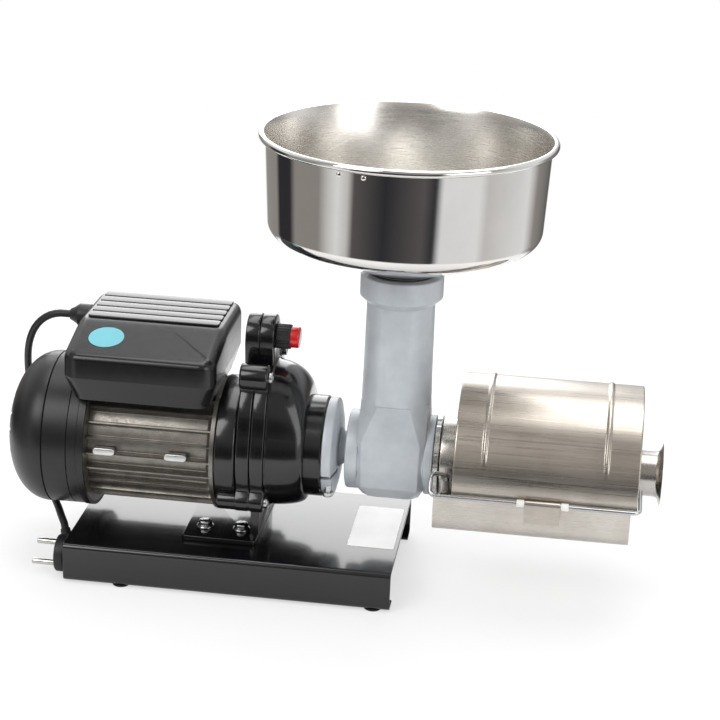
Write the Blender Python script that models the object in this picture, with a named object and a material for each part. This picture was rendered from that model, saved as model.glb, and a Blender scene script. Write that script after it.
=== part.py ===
"""Electric tomato strainer: motor, gearbox, strainer head, hopper, guard and tray on a channel base.

Metres, +Z up, +X towards the waste outlet. The origin is under the middle of the machine, on the floor.
"""
import math

import bmesh
import bpy
import numpy as np
from mathutils import Matrix, Vector

# General fits
GAP = 0.0003  # between pieces that touch
RUNNING_GAP = 0.0004  # radial, between a turning piece and its housing
CUT_OVER = 0.001  # by which a cut passes the faces that it opens
CUT_FAR = 0.010  # the same, where a cut runs on into the open
AXIS_HEIGHT = 0.107  # output shaft and strainer above the floor
MOTOR_DROP = 0.0025  # motor shaft below the output shaft

# Base channel
BASE_LENGTH = 0.264
BASE_DEPTH = 0.152
BASE_TOP = 0.034
BASE_SHEET = 0.002
BASE_LIP = 0.016
BASE_BEND = 0.003
BASE_RIGHT_REACH = 0.0096  # past the throat axis
FOOT_RADIUS = 0.007
FOOT_LIFT = 0.0018  # clear height under the channel's lips
FOOT_STEM_RADIUS = 0.003
FOOT_INSET_LEFT = 0.046
FOOT_INSET_RIGHT = 0.014

# Motor foot and its bolts
PEDESTAL_LENGTH = 0.060
PEDESTAL_DEPTH = 0.096
PEDESTAL_PLATE = 0.004
PEDESTAL_SADDLE_LENGTH = 0.0067
PEDESTAL_SADDLE_DEPTH = 0.070
BOLT_RADIUS = 0.003
BOLT_CLEARANCE = 0.0004
BOLT_HEAD_RADIUS = 0.0058
BOLT_FLANGE_RADIUS = 0.0071
BOLT_FLANGE_HEIGHT = 0.0015
BOLT_HEAD_HEIGHT = 0.0055
BOLT_SPACING_X = 0.030
BOLT_SPACING_Y = 0.054
NUT_HEIGHT = 0.005  # welded under the channel's top
BOLT_TIP = 0.002

# Strainer body
BODY_LENGTH = 0.053
BODY_HALF_DEPTH = 0.031
BODY_FOOT_DROP = 0.033  # underside below the axis
BODY_OVERLAP = 0.0005  # of the chamber into the flanges
FLANGE_RADIUS = 0.032
FLANGE_CHAMFER = 0.0015
LEFT_FLANGE = 0.010
RIGHT_FLANGE = 0.007
NECK_RADIUS = 0.0166
NECK_LENGTH = 0.0065
NECK_BORE = 0.0126
SPIGOT_RADIUS = 0.0282
SPIGOT_LENGTH = 0.0020
AUGER_BORE = 0.0252
THROAT_RADIUS = 0.0278
THROAT_FLAT = 0.0255  # the flattened front strip's distance from the throat axis
THROAT_BORE = 0.0230
THROAT_START = 0.046  # above the axis
COLLAR_BOTTOM = 0.129  # above the axis
COLLAR_CHAMFER = 0.004
COLLAR_RADIUS = 0.0327
COLLAR_HEIGHT = 0.022
SPOUT_SEAT_DEPTH = 0.020

# Hopper
RIM_RADIUS = 0.115
RIM_HEIGHT = 0.369
RIM_BEAD = 0.0026
HOPPER_WALL_TOP_RADIUS = 0.1095
HOPPER_WALL_LOW_RADIUS = 0.1065
HOPPER_WALL_DROP = 0.070
HOPPER_CORNER = 0.012
HOPPER_SHEET = 0.0012
HOPPER_CONE_DROP = 0.030
SPOUT_RADIUS = 0.0250
SPOUT_FLARE = 0.006
SPOUT_CLEAR = 0.004  # of the flare above the collar
BEAD_TURNS = (110, 50, -10, -70, -120)  # degrees round the rolled rim

# Clamp ring between gearbox and strainer
CLAMP_LENGTH = 0.011
CLAMP_RADIUS = 0.040
CLAMP_SLOT = 0.003
CLAMP_BORE_AIR = 0.002  # round the output shaft
CLAMP_SCREW_RADIUS = 0.0025
CLAMP_HEAD_HEIGHT = 0.0035
CLAMP_SCREW_REACH = 0.007  # past the slot

# Gearbox
BOSS_LENGTH = 0.0137
BOSS_RADIUS = 0.041
COVER_BULGE = 0.030
COVER_FLANGE = 0.0112
CASE_HALF = 0.0110
CASE_WALL = 0.004
CASE_LOW_RADIUS = 0.0535
CASE_HIGH_RADIUS = 0.0475
CASE_RISE = 0.024
BULGE_STEP = 0.0025
LOBE_RISE = 0.0906
LOBE_RADIUS = 0.0175
LUG_RADIUS = 0.008
LUG_HIGH = (0.034, 0.067)
LUG_LOW = (0.045, -0.035)
SCREW_RADIUS = 0.0023
SCREW_HEAD_RADIUS = 0.0045
SCREW_HEAD_HEIGHT = 0.0032
SCREW_CLEARANCE = 0.0003

# Switch
SWITCH_COLLAR_LENGTH = 0.0117
SWITCH_COLLAR_RADIUS = 0.0098
SWITCH_BUTTON_RADIUS = 0.0087
SWITCH_BUTTON_REACH = 0.0072
SWITCH_TRAVEL = 0.003
SWITCH_BODY_RADIUS = 0.0115
SWITCH_BODY_LENGTH = 0.015
BUTTON_CHAMFER = 0.001

# Gear train
GEAR_MODULE = 0.00125
MOTOR_PINION_TEETH = 10
WHEEL_TEETH = 42
SECOND_PINION_TEETH = 10
OUTPUT_TEETH = 38
FIRST_FACE = 0.009
SECOND_FACE = 0.014
GEAR_AIR = 0.0013  # beside each gear
IDLER_SHAFT_RADIUS = 0.0045
OUTPUT_SHAFT_RADIUS = 0.0100
BEARING_WALL = 0.0050
BEARING_WIDTH = 0.0070

# Motor
SHIELD_LENGTH = 0.0167
SHIELD_RADIUS = 0.054
SHIELD_WALL = 0.004
STATOR_LENGTH = 0.1034
FIN_TIP_RADIUS = 0.0535
FIN_ROOT_RADIUS = 0.0470
FIN_COUNT = 26
STATOR_BORE = 0.0423
SEAT_HEIGHT = 0.0465  # flat seat of the terminal box above the motor shaft
CORE_LENGTH = 0.065
WINDING_LENGTH = 0.013
WINDING_AIR = 0.0025  # between a winding and what is round it
ROTOR_RADIUS = 0.0247
AIR_GAP = 0.0006
MOTOR_SHAFT_RADIUS = 0.0060
REAR_SHIELD_LENGTH = 0.0110
FAN_COVER_RADIUS = 0.062
FAN_COVER_WALL = 0.002
FAN_COVER_STRAIGHT = 0.036
FAN_COVER_DOME = 0.036
FAN_RADIUS = 0.050
FAN_WIDTH = 0.018
FAN_BLADES = 8
FAN_HUB_WALL = 0.004
FAN_SHEET = 0.002
FAN_AIR = 0.003  # between fan and rear shield
SLOT_COUNT = 8
SLOT_WIDTH = 0.004
DOME_STEPS = 5
DOME_TURN = math.radians(84)  # where the dome's curve ends in a flat

# Terminal box
BOX_LENGTH = 0.1212
BOX_HALF_DEPTH = 0.062
BOX_LEFT_OVERHANG = 0.0165  # past the stator's rear end
BOX_BASE_HEIGHT = 0.020
BOX_BASE_TAPER = 0.006
BOX_LID_HEIGHT = 0.0335
BOX_SLOPE_DROP = 0.014
BOX_SLOPE_LENGTH = 0.053
BOX_CORNER = 0.008
BOX_WALL = 0.0025
RIDGE_SHIFT = 0.55  # of a rib's pitch, from the ridge to the first groove
RIB_INSET = 0.010
RIB_COUNT = 5
RIB_PITCH = 0.0130
RIB_GROOVE = 0.0032
RIB_DEPTH = 0.0012
CAPACITOR_RADIUS = 0.0150
CAPACITOR_LENGTH = 0.070

# Cord and plug
GLAND_Y = 0.035
GLAND_DROP = 0.0155  # below the lid's top
GLAND_RADIUS = 0.0093
GLAND_LENGTH = 0.0185
CORD_RADIUS = 0.0031
CORD_LEAD = 0.003  # straight out of the gland
PLUG_RADIUS = 0.0150
PLUG_LENGTH = 0.028
PLUG_FLANGE = 0.0095
PLUG_BACK_RADIUS = 0.0124
PLUG_OVERHANG = 0.010  # past the base's left end
PLUG_Y = -0.055
PLUG_LIFT = 0.001  # above the floor
PIN_RADIUS = 0.0024
PIN_LENGTH = 0.019
PIN_SPACING = 0.019
PIN_TURN = math.radians(35)
PLUG_CHAMFER = 0.001
OUTLET_SLEEVE = 0.013  # the plug's sleeve round the cord
CORD_STEP = 2.2  # of the cord's diameter, between points

# Sieve, locking ring, auger
RING_LENGTH = 0.0046
RING_RADIUS = 0.0328
RING_LIP = 0.0012
SIEVE_WALL = 0.0012
SIEVE_COLLAR_RADIUS = 0.0315
SIEVE_COLLAR_LENGTH = 0.0172
CATCH_INSET = 0.0022  # from the collar's left end
CATCH_LENGTH = 0.0070
CATCH_REACH = 0.0312  # in front of the axis
CATCH_DEPTH = 0.006
CATCH_TOP_DROP = 0.004  # below the axis
CATCH_HEIGHT = 0.015
SIEVE_START_RADIUS = 0.0290
SIEVE_LENGTH = 0.131
OUTLET_RADIUS = 0.0180
OUTLET_LENGTH = 0.0245
LIP_LENGTH = 0.0026
LIP_RADIUS = 0.0255
AUGER_START = 0.002  # of the flight, right of the neck
AUGER_END_GAP = 0.004  # before the cone's right end
AUGER_SHAFT_RADIUS = 0.0098
AUGER_CORE_RADIUS = 0.0120
AUGER_PITCH = 0.024
FLIGHT_THICKNESS = 0.0035
AUGER_CLEARANCE = 0.0009

# Guard, wire and tray
GUARD_RADIUS = 0.0695
GUARD_LENGTH = 0.1428
GUARD_START = 0.0035  # left of the cone's left end
GUARD_SHEET = 0.0012
GUARD_SKIRT = 0.0035  # below the axis
WIRE_RADIUS = 0.0016
WIRE_STAND_OFF = 0.0019
WIRE_LEFT_REACH = 0.0165  # past the guard's left end
WIRE_BEND = 0.005
WIRE_ARM_RISE = 0.004  # of the right arm's end
WIRE_LOOP = (0.012, 0.014)  # inward and up from the left corner
WIRE_HOOK = (0.012, 0.020, 0.010)  # along, inward and up from the left corner
WIRE_TIP = (0.0050, 0.026, 0.003)  # left of the guard, inward and up
BUSH_RADIUS = 0.0030
BUSH_LENGTH = 0.0060
BUSH_SPACING = 0.034
TAB_LENGTH = 0.027
TAB_DROP = 0.015
TAB_SHEET = 0.0012
TAB_SHIFT = 0.0005  # left of the guard's middle
TRAY_LENGTH = 0.152
TRAY_HALF_DEPTH = 0.068
TRAY_TOP_DROP = 0.0062  # below the axis
TRAY_HEIGHT = 0.031
TRAY_CORNER = 0.012
TRAY_SHEET = 0.0012
TRAY_END_GAP = 0.0045  # the tray's right end is left of the guard's
TRAY_WALL_INSET = 0.001  # of the right wall
DRAIN_SHIFT = 0.2  # of the tray's length, to the right
DRAIN_RADIUS = 0.015

# Ranges of the sliding pieces
HOPPER_LIFT = 0.060
GUARD_LIFT = 0.060
TRAY_DROP = 0.035

ROUND = 28
SMALL_ROUND = 12
# Rays of the gearbox outline on one side, in degrees, closer together at the lugs and the switch lobe
CASE_ANGLES = (-90, -78, -66, -55, -48, -46.2, -44.5, -41.5, -38, -34.5, -31.5, -29.6, -26, -18, -8, 2, 12, 22,
               32, 42, 50, 56, 57.2, 59, 61.2, 63.1, 65, 67, 69, 70.5, 75, 78.8, 79.3, 80.5, 83, 86.5, 90)

# Stations along the machine. The throat axis is placed so that the origin is at the middle.
RIGHT_REACH = (BODY_LENGTH / 2 + RIGHT_FLANGE + RING_LENGTH + 2 * GAP + SIEVE_COLLAR_LENGTH
               + SIEVE_LENGTH + OUTLET_LENGTH + LIP_LENGTH)
LEFT_REACH = (BODY_LENGTH / 2 + LEFT_FLANGE + NECK_LENGTH + CLAMP_LENGTH + BOSS_LENGTH + COVER_BULGE
              + COVER_FLANGE + CASE_HALF + SHIELD_LENGTH + STATOR_LENGTH + 5 * GAP
              + FAN_COVER_STRAIGHT + FAN_COVER_DOME)
THROAT_X = (LEFT_REACH - RIGHT_REACH) / 2
BODY_LEFT = THROAT_X - BODY_LENGTH / 2
BODY_RIGHT = THROAT_X + BODY_LENGTH / 2
NECK_LEFT = BODY_LEFT - LEFT_FLANGE - NECK_LENGTH
CLAMP_LEFT = NECK_LEFT - CLAMP_LENGTH
BOSS_RIGHT = CLAMP_LEFT - GAP
BULGE_RIGHT = BOSS_RIGHT - BOSS_LENGTH
COVER_SHOULDER = BULGE_RIGHT - COVER_BULGE
COVER_LEFT = COVER_SHOULDER - COVER_FLANGE
CASE_RIGHT = COVER_LEFT - GAP
CASE_LEFT = CASE_RIGHT - CASE_HALF
SHIELD_RIGHT = CASE_LEFT - GAP
SHIELD_LEFT = SHIELD_RIGHT - SHIELD_LENGTH
STATOR_RIGHT = SHIELD_LEFT - GAP
STATOR_LEFT = STATOR_RIGHT - STATOR_LENGTH
FAN_COVER_RIGHT = STATOR_LEFT - GAP
FAN_COVER_DOME_X = FAN_COVER_RIGHT - FAN_COVER_STRAIGHT
RING_LEFT = BODY_RIGHT + RIGHT_FLANGE + GAP
RING_RIGHT = RING_LEFT + RING_LENGTH
SIEVE_LEFT = RING_RIGHT + GAP
CONE_LEFT = SIEVE_LEFT + SIEVE_COLLAR_LENGTH
GUARD_LEFT = CONE_LEFT - GUARD_START
CONE_RIGHT = CONE_LEFT + SIEVE_LENGTH
OUTLET_RIGHT = CONE_RIGHT + OUTLET_LENGTH
MOTOR_HEIGHT = AXIS_HEIGHT - MOTOR_DROP
BASE_RIGHT = THROAT_X + BASE_RIGHT_REACH
BASE_LEFT = BASE_RIGHT - BASE_LENGTH
SWITCH_HEIGHT = AXIS_HEIGHT + LOBE_RISE


def finish(name, colour, metallic, roughness):
    """Makes a Principled material."""
    material = bpy.data.materials.new(name)
    material.use_nodes = True
    shader = material.node_tree.nodes["Principled BSDF"]
    shader.inputs["Base Color"].default_value = (*colour, 1.0)
    shader.inputs["Metallic"].default_value = metallic
    shader.inputs["Roughness"].default_value = roughness
    material.diffuse_color = (*colour, 1.0)
    return material


def circle(radius, count=ROUND, centre=(0.0, 0.0), turn=0.0):
    """Points of a circle, in a section's own plane."""
    angle = np.arange(count) * (2 * math.pi / count) + turn
    return np.column_stack([centre[0] + radius * np.cos(angle), centre[1] + radius * np.sin(angle)])


def rounded_rectangle(low, high, corner, steps=4):
    """Points of a rectangle with round corners, anticlockwise."""
    points = []
    centres = [(high[0] - corner, high[1] - corner), (low[0] + corner, high[1] - corner),
               (low[0] + corner, low[1] + corner), (high[0] - corner, low[1] + corner)]
    for quarter, centre in enumerate(centres):
        for step in range(steps + 1):
            angle = (quarter + step / steps) * math.pi / 2
            points.append((centre[0] + corner * math.cos(angle), centre[1] + corner * math.sin(angle)))
    return np.array(points)


def joined_circles(circles):
    """Outer outline of circles that overlap or stand round the middle, as the farthest hit of each ray."""
    right = np.array(CASE_ANGLES)
    angle = np.radians(np.concatenate([right, 180 - right[-2:0:-1]]))
    ray = np.column_stack([np.cos(angle), np.sin(angle)])
    reach = np.zeros(len(angle))
    for across, up, radius in circles:
        along = ray @ np.array([across, up])
        inside = radius ** 2 - (across ** 2 + up ** 2) + along ** 2
        hit = along + np.sqrt(np.maximum(inside, 0.0))
        reach = np.where((inside > 0) & (hit > reach), hit, reach)
    return ray * reach[:, None]


def toothed(teeth, phase):
    """Outline of a spur gear with straight flanks; phase turns one tooth's middle to that angle."""
    pitch_radius = GEAR_MODULE * teeth / 2
    step = 2 * math.pi / teeth
    points = []
    for tooth in range(teeth):
        middle = phase + tooth * step
        root, tip = pitch_radius - 1.1 * GEAR_MODULE, pitch_radius + 0.75 * GEAR_MODULE
        for radius, share in ((root, -0.26), (tip, -0.10), (tip, 0.10), (root, 0.26)):
            angle = middle + share * step
            points.append((radius * math.cos(angle), radius * math.sin(angle)))
    return np.array(points)


def bent_path(points, bend, steps=4):
    """A polyline with every inner corner rounded to one radius, in two or three dimensions."""
    points = [np.array(point, float) for point in points]
    path = [points[0]]
    for before, corner, after in zip(points, points[1:], points[2:]):
        back = (before - corner) / np.linalg.norm(before - corner)
        ahead = (after - corner) / np.linalg.norm(after - corner)
        half = math.acos(np.clip(back @ ahead, -1, 1)) / 2
        middle = corner + (back + ahead) / np.linalg.norm(back + ahead) * bend / math.sin(half)
        start = corner + back * bend / math.tan(half) - middle
        end = corner + ahead * bend / math.tan(half) - middle
        sweep = math.pi - 2 * half
        for step in range(steps + 1):
            share = step / steps
            path.append(middle + (start * math.sin((1 - share) * sweep) + end * math.sin(share * sweep))
                        / math.sin(sweep))
    path.append(points[-1])
    return np.array(path)


def sheet_section(points, thickness, bend, steps=4):
    """Closed outline of a bent strip whose middle line follows the points."""
    path = bent_path(points, bend, steps)
    tangent = np.gradient(path, axis=0)
    chord = np.diff(path, axis=0)
    chord /= np.linalg.norm(chord, axis=1)[:, None]
    tangent[0], tangent[-1] = chord[0], chord[-1]
    tangent[1:-1] = chord[:-1] + chord[1:]
    tangent /= np.linalg.norm(tangent, axis=1)[:, None]
    normal = np.column_stack([-tangent[:, 1], tangent[:, 0]])
    stretch = np.ones(len(path))
    stretch[1:-1] = 1 / np.maximum(0.5, np.abs((chord[:-1] * tangent[1:-1]).sum(axis=1)))
    offset = normal * (thickness / 2 * stretch)[:, None]
    return np.vstack([path + offset, (path - offset)[::-1]])


def add_mesh(name, vertices, faces, material, at, crease=34.0):
    """Makes a closed mesh object with outward faces, smooth except at sharp edges."""
    mesh = bpy.data.meshes.new(name)
    mesh.from_pydata([tuple(vertex) for vertex in vertices], [], faces)
    shape = bmesh.new()
    shape.from_mesh(mesh)
    bmesh.ops.recalc_face_normals(shape, faces=shape.faces)
    shape.to_mesh(mesh)
    shape.free()
    if material:
        mesh.materials.append(material)
    mesh.shade_smooth()
    mesh.set_sharp_from_angle(angle=math.radians(crease))
    piece = bpy.data.objects.new(name, mesh)
    piece.location = at
    bpy.context.scene.collection.objects.link(piece)
    return piece


def loft(name, sections, material=None, axis="X", at=(0.0, 0.0, 0.0), closed=False):
    """Joins sections of equal point counts along an axis; closed returns to the first one, as a tube does."""
    count = len(sections[0][1])
    vertices = []
    for station, ring in sections:
        level = np.full(count, station)
        if axis == "X":
            vertices.append(np.column_stack([level, ring[:, 0], ring[:, 1]]))
        elif axis == "Y":
            vertices.append(np.column_stack([ring[:, 0], level, ring[:, 1]]))
        else:
            vertices.append(np.column_stack([ring[:, 0], ring[:, 1], level]))
    bands = len(sections) if closed else len(sections) - 1
    faces = []
    for band in range(bands):
        here, there = band * count, (band + 1) % len(sections) * count
        for index in range(count):
            ahead = (index + 1) % count
            faces.append((here + index, here + ahead, there + ahead, there + index))
    if not closed:
        faces.append(tuple(range(count)))
        faces.append(tuple((len(sections) - 1) * count + index for index in range(count)))
    return add_mesh(name, np.vstack(vertices), faces, material, at)


def turned(name, profile, material=None, axis="X", at=(0.0, 0.0, 0.0), closed=False, count=ROUND):
    """A turned piece from stations and radii; closed makes a ring with a bore."""
    return loft(name, [(station, circle(radius, count)) for station, radius in profile],
                material, axis, at, closed)


def block(name, low, high, material=None):
    """A box between two corners."""
    ring = np.array([(low[1], low[2]), (high[1], low[2]), (high[1], high[2]), (low[1], high[2])])
    return loft(name, [(low[0], ring), (high[0], ring)], material)


def combine(piece, tool, operation):
    """Joins a tool into a piece, or cuts it out, and removes the tool."""
    cut = piece.modifiers.new(operation.lower(), "BOOLEAN")
    cut.object = tool
    cut.operation = operation
    cut.solver = "EXACT"
    graph = bpy.context.evaluated_depsgraph_get()
    mesh = bpy.data.meshes.new_from_object(piece.evaluated_get(graph))
    piece.modifiers.clear()
    piece.data = mesh
    mesh.name = piece.name
    mesh.shade_smooth()
    mesh.set_sharp_from_angle(angle=math.radians(34))
    bpy.data.objects.remove(tool)
    return piece


def hole(piece, radius, low, high, axis="X", at=(0.0, 0.0, 0.0), count=SMALL_ROUND):
    """Cuts a round hole whose flats lie on the radius, between two stations of an axis."""
    ring = circle(radius / math.cos(math.pi / count), count, turn=math.pi / count)
    return combine(piece, loft("hole", [(low, ring), (high, ring)], None, axis, at), "DIFFERENCE")


def tube_curve(name, points, radius, material, sides):
    """A round bar or cord that follows points, as a curve with a bevel and filled caps."""
    curve = bpy.data.curves.new(name, "CURVE")
    curve.dimensions = "3D"
    curve.resolution_u = 1
    curve.render_resolution_u = 0
    curve.bevel_depth = radius
    curve.bevel_resolution = sides
    curve.use_fill_caps = True
    spline = curve.splines.new("POLY")
    spline.points.add(len(points) - 1)
    for target, point in zip(spline.points, points):
        target.co = (*point, 1.0)
    curve.materials.append(material)
    piece = bpy.data.objects.new(name, curve)
    bpy.context.scene.collection.objects.link(piece)
    return piece


def smooth_curve(points, spacing):
    """Points at an even spacing on a Catmull-Rom curve through the route's points."""
    route = np.array(points, float)
    padded = np.vstack([2 * route[0] - route[1], route, 2 * route[-1] - route[-2]])
    fine = []
    for p0, p1, p2, p3 in zip(padded, padded[1:], padded[2:], padded[3:]):
        for share in np.linspace(0, 1, 20, endpoint=False):
            fine.append(0.5 * (2 * p1 + (p2 - p0) * share + (2 * p0 - 5 * p1 + 4 * p2 - p3) * share ** 2
                               + (3 * p1 - p0 - 3 * p2 + p3) * share ** 3))
    fine.append(route[-1])
    fine = np.array(fine)
    along = np.concatenate([[0], np.cumsum(np.linalg.norm(np.diff(fine, axis=0), axis=1))])
    count = max(2, round(along[-1] / spacing) + 1)
    marks = np.linspace(0, along[-1], count)
    return np.column_stack([np.interp(marks, along, fine[:, column]) for column in range(3)])


def pivot(name, location, pieces):
    """An empty on a joint's axis that carries the pieces of one moving body."""
    empty = bpy.data.objects.new(name, None)
    empty.location = location
    bpy.context.scene.collection.objects.link(empty)
    for piece in pieces:
        piece.parent = empty
        piece.location = Vector(piece.location) - Vector(location)
    return empty


def build_base(black_paint, rubber):
    """The channel and its four feet."""
    half = BASE_DEPTH / 2 - BASE_SHEET / 2
    top = BASE_TOP - BASE_SHEET / 2
    low = FOOT_LIFT + BASE_SHEET / 2
    section = sheet_section([(-half + BASE_LIP, low), (-half, low), (-half, top), (half, top), (half, low),
                             (half - BASE_LIP, low)], BASE_SHEET, BASE_BEND)
    channel = loft("base_channel", [(BASE_LEFT, section), (BASE_RIGHT, section)], black_paint)
    foot_y = BASE_DEPTH / 2 - BASE_LIP / 2
    number = 0
    for x in (BASE_LEFT + FOOT_INSET_LEFT, BASE_RIGHT - FOOT_INSET_RIGHT):
        for y in (-foot_y, foot_y):
            number += 1
            hole(channel, FOOT_STEM_RADIUS + GAP, 0.0, FOOT_LIFT + 2 * BASE_SHEET, "Z", (x, y, 0.0), 16)
            lip_top = FOOT_LIFT + BASE_SHEET + GAP
            turned(f"rubber_foot_{number}", [(0.0, FOOT_RADIUS), (FOOT_LIFT - GAP, FOOT_RADIUS),
                                             (FOOT_LIFT - GAP, FOOT_STEM_RADIUS), (lip_top, FOOT_STEM_RADIUS),
                                             (lip_top, FOOT_STEM_RADIUS * 1.35),
                                             (lip_top + FOOT_STEM_RADIUS, FOOT_STEM_RADIUS * 0.7)],
                   rubber, "Z", (x, y, 0.0), count=16)
    return channel


def bolt_places():
    """Centres of the four bolts that hold the pedestal on the base."""
    middle = pedestal_left() + PEDESTAL_LENGTH / 2
    return [(middle + side * BOLT_SPACING_X / 2, across * BOLT_SPACING_Y / 2)
            for side in (-1, 1) for across in (-1, 1)]


def pedestal_left():
    """Left edge of the pedestal, which carries the case halves over its right end."""
    return COVER_SHOULDER - PEDESTAL_LENGTH - COVER_FLANGE / 2


def build_pedestal(channel, black_paint, zinc):
    """The bolted pedestal under the gearbox, its four flange bolts and their nuts."""
    low = BASE_TOP + GAP
    left = pedestal_left()
    plate_top = low + PEDESTAL_PLATE
    pedestal = block("motor_pedestal", (left, -PEDESTAL_DEPTH / 2, low),
                     (left + PEDESTAL_LENGTH, PEDESTAL_DEPTH / 2, plate_top), black_paint)
    saddle_right = left + PEDESTAL_LENGTH
    saddle_low = (saddle_right - PEDESTAL_SADDLE_LENGTH, -PEDESTAL_SADDLE_DEPTH / 2, low + PEDESTAL_PLATE / 2)
    saddle_high = (saddle_right, PEDESTAL_SADDLE_DEPTH / 2, AXIS_HEIGHT - CASE_LOW_RADIUS * 0.62)
    saddle = block("saddle", saddle_low, saddle_high)
    combine(pedestal, saddle, "UNION")
    outline = joined_circles(case_circles(GAP))
    combine(pedestal, loft("case_shape", [(left - GAP, outline), (saddle_right + GAP, outline)],
                           at=(0, 0, AXIS_HEIGHT)), "DIFFERENCE")
    for number, (x, y) in enumerate(bolt_places(), 1):
        at = (x, y, 0.0)
        clear = BOLT_RADIUS + BOLT_CLEARANCE
        hole(pedestal, clear, low - CUT_OVER, plate_top + CUT_OVER, "Z", at, 16)
        nut = turned("nut", [(BASE_TOP - BASE_SHEET - NUT_HEIGHT, BOLT_HEAD_RADIUS),
                             (BASE_TOP - BASE_SHEET / 2, BOLT_HEAD_RADIUS)], None, "Z", at, count=6)
        combine(channel, nut, "UNION")
        hole(channel, clear, BASE_TOP - BASE_SHEET - NUT_HEIGHT - CUT_OVER, BASE_TOP + CUT_OVER, "Z", at, 16)
        seat = plate_top + GAP
        nut_low = BASE_TOP - BASE_SHEET - NUT_HEIGHT
        bolt = turned(f"base_bolt_{number}", [(nut_low - BOLT_TIP, BOLT_RADIUS), (seat, BOLT_RADIUS),
                                              (seat, BOLT_FLANGE_RADIUS),
                                              (seat + BOLT_FLANGE_HEIGHT, BOLT_FLANGE_RADIUS)],
                      zinc, "Z", at, count=24)
        head = [(seat + BOLT_FLANGE_HEIGHT / 2, BOLT_HEAD_RADIUS), (seat + BOLT_HEAD_HEIGHT, BOLT_HEAD_RADIUS)]
        combine(bolt, turned("hex", head, None, "Z", at, count=6), "UNION")


def case_circles(grow=0.0):
    """The circles whose joined outline is the gearbox case, about the output axis."""
    circles = [(0.0, 0.0, CASE_LOW_RADIUS + grow), (0.0, CASE_RISE, CASE_HIGH_RADIUS + grow),
               (0.0, LOBE_RISE, LOBE_RADIUS + grow)]
    for across, up in (LUG_HIGH, LUG_LOW):
        circles += [(across, up, LUG_RADIUS + grow), (-across, up, LUG_RADIUS + grow)]
    return circles


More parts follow.
